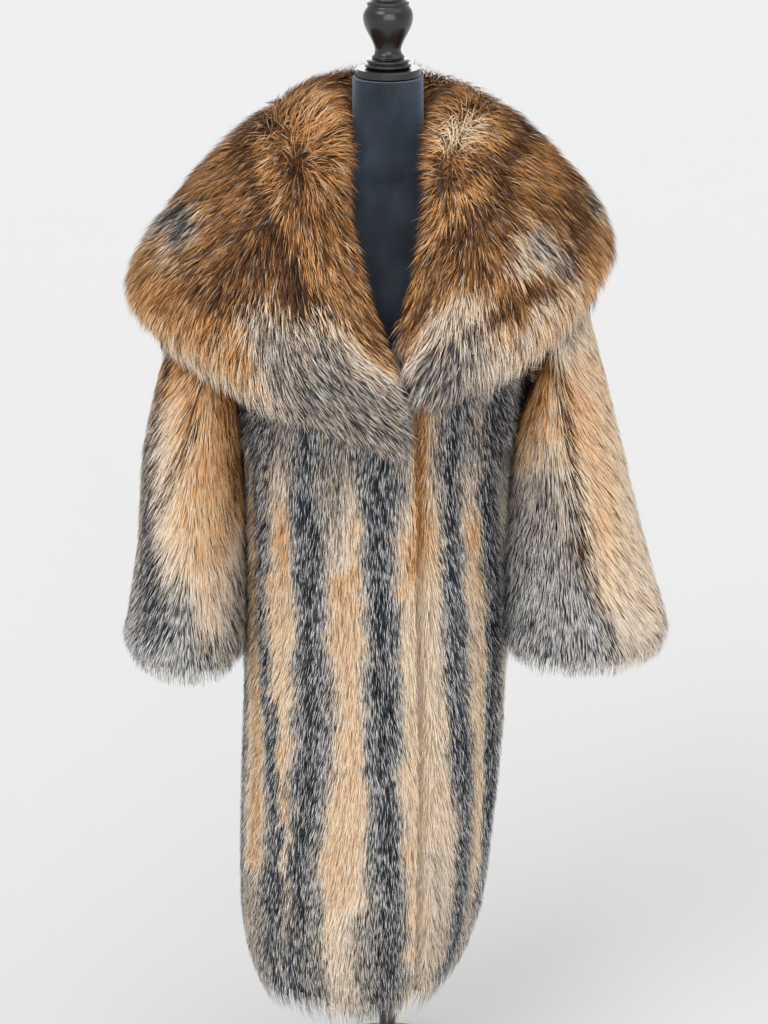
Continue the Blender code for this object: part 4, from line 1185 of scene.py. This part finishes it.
def shown(piece, r, c, reach):
    """The marks and points over which hairs from rows r and columns c lie, a reach away."""
    by_row = piece.read(piece.outer, r + 0.5, c) - piece.read(piece.outer, r - 0.5, c)
    by_column = piece.read(piece.outer, r, c + 0.5) - piece.read(piece.outer, r, c - 0.5)
    r = np.clip(r + (dots(reach, by_row) / dots(by_row, by_row))[:, 0], 0, piece.rows - 1)
    c = c + (dots(reach, by_column) / np.maximum(dots(by_column, by_column), 1e-8))[:, 0]
    c = c % piece.columns if piece.closed else np.clip(c, 0, piece.columns - 1)
    return piece.marks_at(r, c), piece.read(piece.outer, r, c)


# Widths of a hair at its pairs of points, as shares of its width at the root, and the edges' slight
# difference in pigment.
ROOT_WIDTH, LAST_PAIR_WIDTH = 1.0, 0.62
EDGE_PIGMENT = 0.003
ROOT_V, TIP_V = 0.02, 0.98


def ribbon_mesh(name, centres, across, half, facing, tone, material):
    """One mesh of all the hairs: pairs of points up to the last centre, where the hair ends."""
    count, pairs = len(half), len(centres) - 1
    widths = np.linspace(ROOT_WIDTH, LAST_PAIR_WIDTH, pairs)
    points = []
    for centre, width in zip(centres[:-1], widths):
        reach = across * (half * width)[:, None]
        points += [centre - reach, centre + reach]
    points.append(centres[-1])
    points = np.stack(points, axis=1).reshape(-1, 3)
    per_hair = 2 * pairs + 1
    pattern = []
    for k in range(pairs - 1):
        a = 2 * k
        pattern += [(a, a + 1, a + 3), (a, a + 3, a + 2)]
    pattern.append((2 * pairs - 2, 2 * pairs - 1, 2 * pairs))
    pattern = np.array(pattern)
    faces = (np.arange(count)[:, None, None] * per_hair + pattern[None]).reshape(-1, 3)
    mesh = bpy.data.meshes.new(name)
    mesh.vertices.add(len(points))
    mesh.vertices.foreach_set("co", points.astype(np.float32).ravel())
    mesh.loops.add(faces.size)
    mesh.loops.foreach_set("vertex_index", faces.astype(np.int32).ravel())
    mesh.polygons.add(len(faces))
    mesh.polygons.foreach_set("loop_start", np.arange(0, faces.size, 3, dtype=np.int32))
    mesh.update(calc_edges=True)
    step_v = np.linspace(ROOT_V, TIP_V, pairs + 1)
    v_of = np.concatenate([np.repeat(step_v[:-1], 2), step_v[-1:]])
    u_shift = np.concatenate([np.tile((-EDGE_PIGMENT, EDGE_PIGMENT), pairs), (0.0,)])
    uv = np.empty((count, per_hair, 2))
    uv[..., 0] = tone[:, None] + u_shift[None]
    uv[..., 1] = v_of[None]
    uv = uv.reshape(-1, 2)[faces.ravel()]
    mesh.uv_layers.new(name=HAIR_MAP).data.foreach_set("uv", uv.astype(np.float32).ravel())
    mesh.shade_smooth()
    flat = units(np.cross(across, centres[-1] - centres[0]))
    flat = flat * np.where(dots(flat, facing) < 0, -1.0, 1.0)
    lit = units(facing * SOFT_SHARE + flat * (1 - SOFT_SHARE))
    mesh.normals_split_custom_set_from_vertices(np.repeat(lit, per_hair, axis=0).tolist())
    return new_object(name, mesh, material)


# ---------------------------------------------------------------- how the hair lies


# Waves in the way that the hair lies, and in where a collar's parting runs: their size and height.
BODY_FLOW_WAVES, COLLAR_FLOW_WAVES = (0.12, 0.10), (0.05, 0.12)


def body_flow(marks, surface, by_row, by_column, seed):
    size, height = BODY_FLOW_WAVES
    return -by_row + by_column * (waves(surface, size, seed) * height)[:, None]


# The lean of the hair round a sleeve, by turns from its outer side, and its share by rows.
SLEEVE_LEAN = (
    (-0.5, 0.0), (-0.25, 0.15), (0.0, 0.0), (0.10, -0.35), (0.22, -0.30), (0.27, 0.02), (0.40, 0.05),
    (0.5, 0.0),
)
SLEEVE_LEAN_SHARE = ((0, 0.6), (4, 1.0), (9, 1.0), (13, 0.4))


def sleeve_flow(marks, surface, by_row, by_column, seed):
    """Down the sleeve, leaning outwards from a parting line that runs down its front."""
    turn = (marks[:, 0] + 0.5) % 1.0 - 0.5
    lean = table_value(SLEEVE_LEAN, turn) * table_value(SLEEVE_LEAN_SHARE, marks[:, 1])
    return by_row + by_column * lean[:, None]


PARTING_REACH = 0.022


def collar_flow(source_profile, source_station):
    """Away from a whorl on the shoulder, and from a line on from it round the back."""

    def flow(marks, surface, by_row, by_column, seed):
        size, height = COLLAR_FLOW_WAVES
        profile = marks[:, 0] + waves(surface, size, seed + 2) * height
        station = marks[:, 1]
        nearest = np.maximum(station, source_station)
        along_stations = (station - nearest) * STATION_METRES
        along_profile = (profile - source_profile) * PROFILE_METRES
        rng = np.random.default_rng(seed + 3)
        along_stations = along_stations + rng.normal(0, PARTING_REACH / 3, len(station))
        along_profile = along_profile + rng.normal(0, PARTING_REACH / 3, len(station))
        return by_row * along_stations[:, None] + by_column * along_profile[:, None]

    return flow


# ---------------------------------------------------------------- the coat

BODY_DEPTH, SLEEVE_DEPTH = 0.0105, 0.0130
# Depths of the hairs' roots and lengths of the hairs, by the collar's profile; then lengths by the
# body's level and by the sleeve's row.
COLLAR_DEPTHS = ((0, 0.008), (1, 0.010), (2, 0.016), (3.5, 0.020), (5, 0.013))
COLLAR_LENGTHS = ((0, 0.018), (1, 0.028), (2.5, 0.032), (4, 0.034), (5, 0.030))
BODY_LENGTHS = ((0, 0.056), (0.7, 0.022), (10, 0.021))
SLEEVE_LENGTHS = ((0, 0.038), (9, 0.034), (13, 0.024))

# Soft troughs in the fur where the cloth beneath creases: as the streaks, with a depth in metres.
BODY_CREASES = (
    (-62, 0.92, -46, 0.50, 4.0, 0.005), (60, 0.86, 74, 0.48, 4.5, 0.005),
    (24, 0.62, 34, 0.34, 3.0, 0.003), (-14, 0.50, -20, 0.30, 3.0, 0.003),
    (150, 1.12, 140, 0.40, 5.0, 0.005), (205, 1.10, 216, 0.42, 5.0, 0.005),
    (178, 0.80, 181, 0.36, 4.0, 0.004), (104, 0.95, 112, 0.50, 4.5, 0.005),
    (-108, 0.95, -114, 0.45, 4.5, 0.005),
)
RIGHT_SLEEVE_CREASES = (
    (0.26, 3.2, 0.25, 4.8, 0.012, 0.006), (0.25, 4.8, 0.20, 6.6, 0.012, 0.005),
    (0.42, 4.4, 0.38, 7.6, 0.014, 0.005), (0.10, 7.0, 0.13, 11.5, 0.014, 0.004),
    (0.75, 4.0, 0.80, 9.0, 0.018, 0.006), (0.62, 6.5, 0.70, 10.5, 0.016, 0.004),
)
LEFT_SLEEVE_CREASES = (
    (0.33, 0.8, 0.27, 3.6, 0.014, 0.008), (0.27, 3.6, 0.25, 5.8, 0.012, 0.008),
    (0.25, 5.8, 0.22, 7.4, 0.011, 0.007), (0.22, 7.4, 0.215, 12.5, 0.009, 0.005),
    (0.10, 5.0, 0.13, 9.5, 0.014, 0.004), (0.74, 3.5, 0.80, 9.0, 0.018, 0.006),
    (0.62, 7.0, 0.70, 11.0, 0.016, 0.004),
)


def even(value):
    return lambda marks, *_: np.full(len(marks), value)


def by_mark(table, column):
    return lambda marks: table_value(table, marks[:, column])


def body_crease(marks, surface):
    places = np.stack((body_angle(marks), surface[:, 2] * BODY_DEGREES_PER_METRE), axis=1)
    return streak_shares(places, scaled(BODY_CREASES, 1.0, BODY_DEGREES_PER_METRE))


def sleeve_crease(table):
    creases = scaled(table, 1.0, SLEEVE_ROW_TURNS)
    return lambda marks, surface: streak_shares(sleeve_places(marks[:, 0], marks[:, 1]), creases)


# Fur that a sleeve doesn't press flat swells beside it: how much along the side and at the armpit, the
# heights where that starts, as in above(), and the angles and turns where it ends, as in below().
SIDE_SWELL, ARMPIT_SWELL, SLEEVE_ARMPIT_SWELL = 0.45, 1.2, 1.5
SIDE_HEIGHTS, ARMPIT_HEIGHTS, SLEEVE_ARMPIT_HEIGHTS = (0.74, 0.08), (1.07, 0.07), (1.08, 0.08)
SWELL_ANGLE, SWELL_ANGLES = 86, (20, 18)
SWELL_TURN, SWELL_TURNS = 0.5, (0.12, 0.10)


def body_swell(marks, surface):
    """How much further the body's fur stands out, which fills the space beside a sleeve."""
    side = np.abs((np.abs(marks[:, 0]) + 180) % 360 - 180)
    beside = below(np.abs(side - SWELL_ANGLE), *SWELL_ANGLES)
    height = surface[:, 2]
    swell = SIDE_SWELL * above(height, *SIDE_HEIGHTS) + ARMPIT_SWELL * above(height, *ARMPIT_HEIGHTS)
    return 1 + beside * swell


def sleeve_swell(marks, surface):
    beside = below(np.abs(marks[:, 0] - SWELL_TURN), *SWELL_TURNS)
    armpit = above(surface[:, 2], *SLEEVE_ARMPIT_HEIGHTS)
    return 1 + beside * (SIDE_SWELL + SLEEVE_ARMPIT_SWELL * armpit)


# Where the collar hides the body and the sleeves these shares of their hairs are left out. The heights
# of the change are as in above().
BODY_HIDDEN, BODY_HIDDEN_FROM = 0.75, (1.27, 0.05)
SLEEVE_HIDDEN, SLEEVE_HIDDEN_FROM = 0.6, (1.33, 0.05)
# The collar's density by its neck seam, and the profiles over which it grows to 1.
COLLAR_INNER, COLLAR_OUTER_FROM = 0.6, (0.4, 0.5)


def under_collar_density(marks, points):
    return 1.0 - BODY_HIDDEN * above(points[:, 2], *BODY_HIDDEN_FROM)


def sleeve_density(marks, points):
    return 1.0 - SLEEVE_HIDDEN * above(points[:, 2], *SLEEVE_HIDDEN_FROM)


def collar_density(marks, points):
    return COLLAR_INNER + (1 - COLLAR_INNER) * above(marks[:, 0], *COLLAR_OUTER_FROM)


BODY_LOOK = {
    "pigment": body_pigment, "flow": body_flow, "density": under_collar_density,
    "depth": even(BODY_DEPTH), "pelt": 0.0062, "width": 0.00096, "guard": 0.03, "droop": 0.0,
    "length": by_mark(BODY_LENGTHS, 1), "lock": 10, "lock_turn": 0.04, "lock_lift": (0.90, 1.00),
    "lock_tone": 0.008, "wave": 0.05, "turn": 0.07, "gather": 0.06, "swell": body_swell,
    "crease": body_crease, "agouti": False,
}


def sleeve_look(tones, streaks, creases):
    return dict(
        BODY_LOOK, pigment=sleeve_pigment(tones, streaks), flow=sleeve_flow, density=sleeve_density,
        depth=even(SLEEVE_DEPTH), pelt=0.0068, lock=26, lock_turn=0.05, gather=0.12, width=0.0012,
        lock_tone=0.012, swell=sleeve_swell, length=by_mark(SLEEVE_LENGTHS, 1),
        crease=sleeve_crease(creases),
    )


def collar_look(strokes, streaks, whorl):
    return dict(
        BODY_LOOK, pigment=collar_pigment(strokes, streaks, whorl), flow=collar_flow(*whorl),
        density=collar_density, depth=by_mark(COLLAR_DEPTHS, 0), pelt=0.005, width=0.0012, lock=26,
        lock_turn=0.09, gather=0.20, wave=0.14, turn=0.11, agouti=True, lock_lift=(0.62, 1.06),
        lock_tone=0.022, droop=0.05, length=by_mark(COLLAR_LENGTHS, 0), swell=even(1.0), crease=even(0.0),
    )


# How far pelts and hairs stay off a piece's first and last rows and columns.
FRONT_TRIMS, BACK_TRIMS = (0.10, 0.0, 0.25, 0.0), (0.10, 0.0, 0.0, 0.0)
SLEEVE_TRIMS, COLLAR_TRIMS = (0.0, 0.30, 0.0, 0.0), (0.35, 0.0, 0.0, 0.75)
# Each piece's look, trims, number of hairs, and the cut of its skins: width, length and area. The cut
# comes from the widths and lengths of the coat's outside, less the fur's depth.
PLANS = {
    "front_right": (BODY_LOOK, FRONT_TRIMS, 50000, (0.37, 1.40, 0.35)),
    "front_left": (BODY_LOOK, FRONT_TRIMS, 32000, (0.28, 1.41, 0.28)),
    "back": (BODY_LOOK, BACK_TRIMS, 53000, (0.57, 1.40, 0.63)),
    "sleeve_right": (
        sleeve_look(RIGHT_SLEEVE_TONES, RIGHT_SLEEVE_DARK_LINES_AND_SHADE, RIGHT_SLEEVE_CREASES),
        SLEEVE_TRIMS, 36000, (0.54, 0.69, 0.28),
    ),
    "sleeve_left": (
        sleeve_look(LEFT_SLEEVE_TONES, LEFT_SLEEVE_DARK_LINES_AND_SHADE, LEFT_SLEEVE_CREASES),
        SLEEVE_TRIMS, 36000, (0.56, 0.69, 0.29),
    ),
    "collar_right": (
        collar_look(RIGHT_STROKES, RIGHT_STREAKS, RIGHT_WHORL), COLLAR_TRIMS, 49000, (0.56, 0.95, 0.26),
    ),
    "collar_left": (
        collar_look(LEFT_STROKES, LEFT_STREAKS, LEFT_WHORL), COLLAR_TRIMS, 49000, (0.55, 0.82, 0.21),
    ),
}


def coat_grids():
    """Outer and inner faces and marks of each piece of the coat, and whether it closes on itself."""
    body = panel(RIGHT, right_columns), panel(LEFT, left_columns), panel(LEFT, back_columns)
    body_skins = [(outer, inner, False) for outer, inner, _ in body]
    body_tree = skin_tree(body_skins)
    sleeves = [sleeve(side, table, body_tree) for side, table in ((RIGHT, RIGHT_SLEEVE), (LEFT, LEFT_SLEEVE))]
    under = skin_tree(body_skins + [(outer, inner, True) for outer, inner, _ in sleeves])
    collars = [collar(side, table, under) for side, table in ((RIGHT, RIGHT_COLLAR), (LEFT, LEFT_COLLAR))]
    return zip((*body, *sleeves, *collars), (False,) * 3 + (True,) * 2 + (False,) * 2)


def make_coat():
    materials = pelt_material(), lining_material()
    hair = hair_material()
    for order, ((grids, closed), (name, plan)) in enumerate(zip(coat_grids(), PLANS.items())):
        look, trims, count, (width, length, area) = plan
        seed = 10 * order
        piece = Piece(grids, closed)
        pelt = make_pelt("pelt_" + name, piece, look, trims, materials, seed)
        hairs = make_hair("fur_" + name, piece, look, trims, count, hair, seed)
        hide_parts(name)


# ---------------------------------------------------------------- the form and its stand

ROUND_SIDES = 96
FORM_GAP = 0.0011
# The dress form below its shoulders: height, half width, depth to the front and to the back.
FORM_LEVELS = (
    (0.800, 0.118, 0.090, 0.094),
    (0.880, 0.136, 0.106, 0.116),
    (0.960, 0.126, 0.100, 0.104),
    (1.060, 0.108, 0.092, 0.088),
    (1.170, 0.130, 0.110, 0.096),
    (1.260, 0.146, 0.120, 0.102),
    (1.340, 0.154, 0.108, 0.106),
)
FORM_SHOULDER_LEVELS = (8.45, 8.8, 9.15)
FORM_NECK = ((1.484, 0.0500), (1.515, 0.0462), (1.5785, 0.0450))
FORM_NECK_START = 1.46
FORM_ROWS = 93
FORM_BOTTOM_RADII = (0.35, 0.75, 0.92)
LINING_COLUMNS, LINING_ROWS = 73, 41
NECK_CAP_PROFILE = ((0.0400, 0.0000), (0.0424, 0.0022), (0.0424, 0.0088), (0.0404, 0.0108))
NECK_CAP_BOTTOM = 1.5788
FINIAL_BOTTOM = 1.5899
FINIAL_PROFILE = (
    (0.0270, 0.0000), (0.0293, 0.0018), (0.0293, 0.0046), (0.0262, 0.0062),
    (0.0270, 0.0082), (0.0262, 0.0104), (0.0205, 0.0120), (0.0214, 0.0140),
    (0.0196, 0.0160), (0.0172, 0.0190), (0.0168, 0.0240), (0.0200, 0.0330),
    (0.0258, 0.0440), (0.0302, 0.0540), (0.0316, 0.0630), (0.0300, 0.0715),
    (0.0262, 0.0770), (0.0266, 0.0790), (0.0266, 0.0815), (0.0235, 0.0835),
    (0.0205, 0.0860), (0.0215, 0.0930), (0.0190, 0.1010), (0.0120, 0.1080),
    (0.0045, 0.1108),
)
POLE_RADIUS, POLE_BOTTOM, POLE_TOP = 0.0125, 0.0443, 0.7997
BASE_PROFILE = ((0.1430, 0.0000), (0.1450, 0.0030), (0.1450, 0.0140), (0.1400, 0.0180), (0.0300, 0.0220))
SOCKET_PROFILE = ((0.0270, 0.0223), (0.0270, 0.0300), (0.0190, 0.0380), (0.0170, 0.0440))
PROFILE_STEPS = 4
SHARP_ANGLE = math.radians(38)


def skinned(name, node, rings, material):
    """A closed smooth piece through rings of points, which stands for a node."""
    mesh = bmesh.new()
    rows = [[mesh.verts.new(point) for point in ring] for ring in rings]
    for low, high in zip(rows, rows[1:]):
        for c in range(len(low)):
            d = (c + 1) % len(low)
            mesh.faces.new((low[c], low[d], high[d], high[c]))
    mesh.faces.new(rows[0])
    mesh.faces.new(rows[-1])
    bmesh.ops.recalc_face_normals(mesh, faces=mesh.faces)
    data = bpy.data.meshes.new(name)
    mesh.to_mesh(data)
    mesh.free()
    data.shade_smooth()
    data.set_sharp_from_angle(angle=SHARP_ANGLE)
    made = new_object(name, data, material)
    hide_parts(node)


def turned(node, profile, bottom, material, smooth):
    """A piece turned round the Z axis from radius and height pairs, on a smooth curve where asked."""
    if smooth:
        places = np.linspace(0, len(profile) - 1, PROFILE_STEPS * (len(profile) - 1) + 1)
        profile = [along(profile, place) for place in places]
    turns = [2 * math.pi * k / ROUND_SIDES for k in range(ROUND_SIDES)]
    rings = [[(r * math.cos(a), r * math.sin(a), bottom + z) for a in turns] for r, z in profile]
    skinned("turned_" + node, node, rings, material)


def form_ring(z, half_width, front, back_reach):
    ring = []
    for k in range(ROUND_SIDES):
        turn = 2 * math.pi * k / ROUND_SIDES
        ahead = math.cos(turn)
        corner = 1 + BODY_CORNER * math.sin(2 * turn) ** 2
        deep = front if ahead > 0 else back_reach
        ring.append(np.array((half_width * corner * math.sin(turn), -deep * corner * ahead, z)))
    return ring


def make_form(material):
    """The padded torso and neck, whose shoulders carry the coat."""
    rings = [form_ring(*row) for row in FORM_LEVELS]
    for level in FORM_SHOULDER_LEVELS:
        angles = [360 * k / ROUND_SIDES for k in range(ROUND_SIDES)]
        rings.append([body_point(LEFT, angle, level, BODY_WALL) for angle in angles])
    for z, radius in FORM_NECK:
        rings.append(form_ring(z, radius, radius, radius))
    angles = np.linspace(0, 360, LINING_COLUMNS)
    levels = np.linspace(0, NECKLINE, LINING_ROWS)
    coat = [
        [[body_point(LEFT, angle, level, depth) for angle in angles] for level in levels]
        for depth in (BODY_WALL, 0.0)
    ]
    inside = skin_tree([(*coat, False)])
    rows = [along(np.array(rings), place) for place in np.linspace(0, len(rings) - 1, FORM_ROWS)]
    low_rows = [row for row in rows if row[0][2] < FORM_NECK_START]
    kept = [[kept_clear(point, inside, FORM_GAP) for point in row] for row in low_rows]
    bottom_z, *reach = FORM_LEVELS[0]
    bottom = [form_ring(bottom_z, *(share * size for size in reach)) for share in FORM_BOTTOM_RADII]
    skinned("velvet_form", "dress_form", bottom + kept + rows[len(low_rows):], material)


def make_stand():
    paint = paint_material()
    make_form(velvet_material())
    turned("neck_cap", NECK_CAP_PROFILE, NECK_CAP_BOTTOM, paint, False)
    turned("finial", FINIAL_PROFILE, FINIAL_BOTTOM, paint, True)
    turned("pole", ((POLE_RADIUS, POLE_BOTTOM), (POLE_RADIUS, POLE_TOP)), 0.0, paint, False)
    turned("pole_socket", SOCKET_PROFILE, 0.0, paint, False)
    turned("base", BASE_PROFILE, 0.0, paint, False)


# ---------------------------------------------------------------- studio and camera

CAMERA_PLACE = (-0.005, -2.55, 2.04)
CAMERA_DOWN = 22.58
FOCAL_PIXELS, PICTURE_HEIGHT, SENSOR_HEIGHT = 1994, 1024, 36.0


def make_sun(name, towards, strength, width):
    """A soft light from far away; width is its size in the sky, in degrees."""
    data = bpy.data.lights.new(name, "SUN")
    data.energy, data.angle = strength, math.radians(width)
    made = bpy.data.objects.new(name, data)
    made.rotation_euler = (-Vector(towards)).to_track_quat("-Z", "Y").to_euler()
    bpy.context.scene.collection.objects.link(made)


WORLD_LIGHT = 0.66
# Suns: name, direction towards them, strength and width in the sky.
SUNS = (
    ("key", (-0.55, -0.62, 0.75), 0.9, 35), ("top", (0.35, -0.25, 0.95), 0.5, 60),
    ("front", (0.10, -1.0, 0.12), 1.35, 50), ("back", (-0.15, 1.0, 0.12), 0.9, 50),
)
FLOOR_REACH, FLOOR_TOP, FLOOR_GREY = 30.0, -0.0005, 0.775
FLOOR_DARKER = 0.99


def make_studio():
    mesh = bpy.data.meshes.new("floor")
    corners = [(FLOOR_REACH * x, FLOOR_REACH * y, 0) for x, y in ((-1, -1), (1, -1), (1, 1), (-1, 1))]
    mesh.from_pydata(corners, [], [(0, 1, 2, 3)])
    grey = np.full(3, FLOOR_GREY)
    mesh.materials.append(mottled("pale_floor", (0.9, 0.1), (3.0, 2.0), grey * FLOOR_DARKER, grey))
    floor = bpy.data.objects.new("floor", mesh)
    floor.location.z = FLOOR_TOP
    bpy.context.scene.collection.objects.link(floor)
    world = bpy.data.worlds.new("studio")
    bpy.context.scene.world = world
    world.use_nodes = True
    background = world.node_tree.nodes["Background"]
    background.inputs["Color"].default_value = (1.0, 1.0, 1.0, 1)
    background.inputs["Strength"].default_value = WORLD_LIGHT
    for sun in SUNS:
        make_sun(*sun)
    bpy.context.scene.view_settings.view_transform = "Standard"
    data = bpy.data.cameras.new("camera")
    data.sensor_fit, data.sensor_height = "VERTICAL", SENSOR_HEIGHT
    data.lens = FOCAL_PIXELS * SENSOR_HEIGHT / PICTURE_HEIGHT
    camera = bpy.data.objects.new("camera", data)
    camera.location = CAMERA_PLACE
    camera.rotation_euler = (math.radians(90 - CAMERA_DOWN), 0, 0)
    bpy.context.scene.collection.objects.link(camera)
    bpy.context.scene.camera = camera


make_studio()
make_stand()
make_coat()
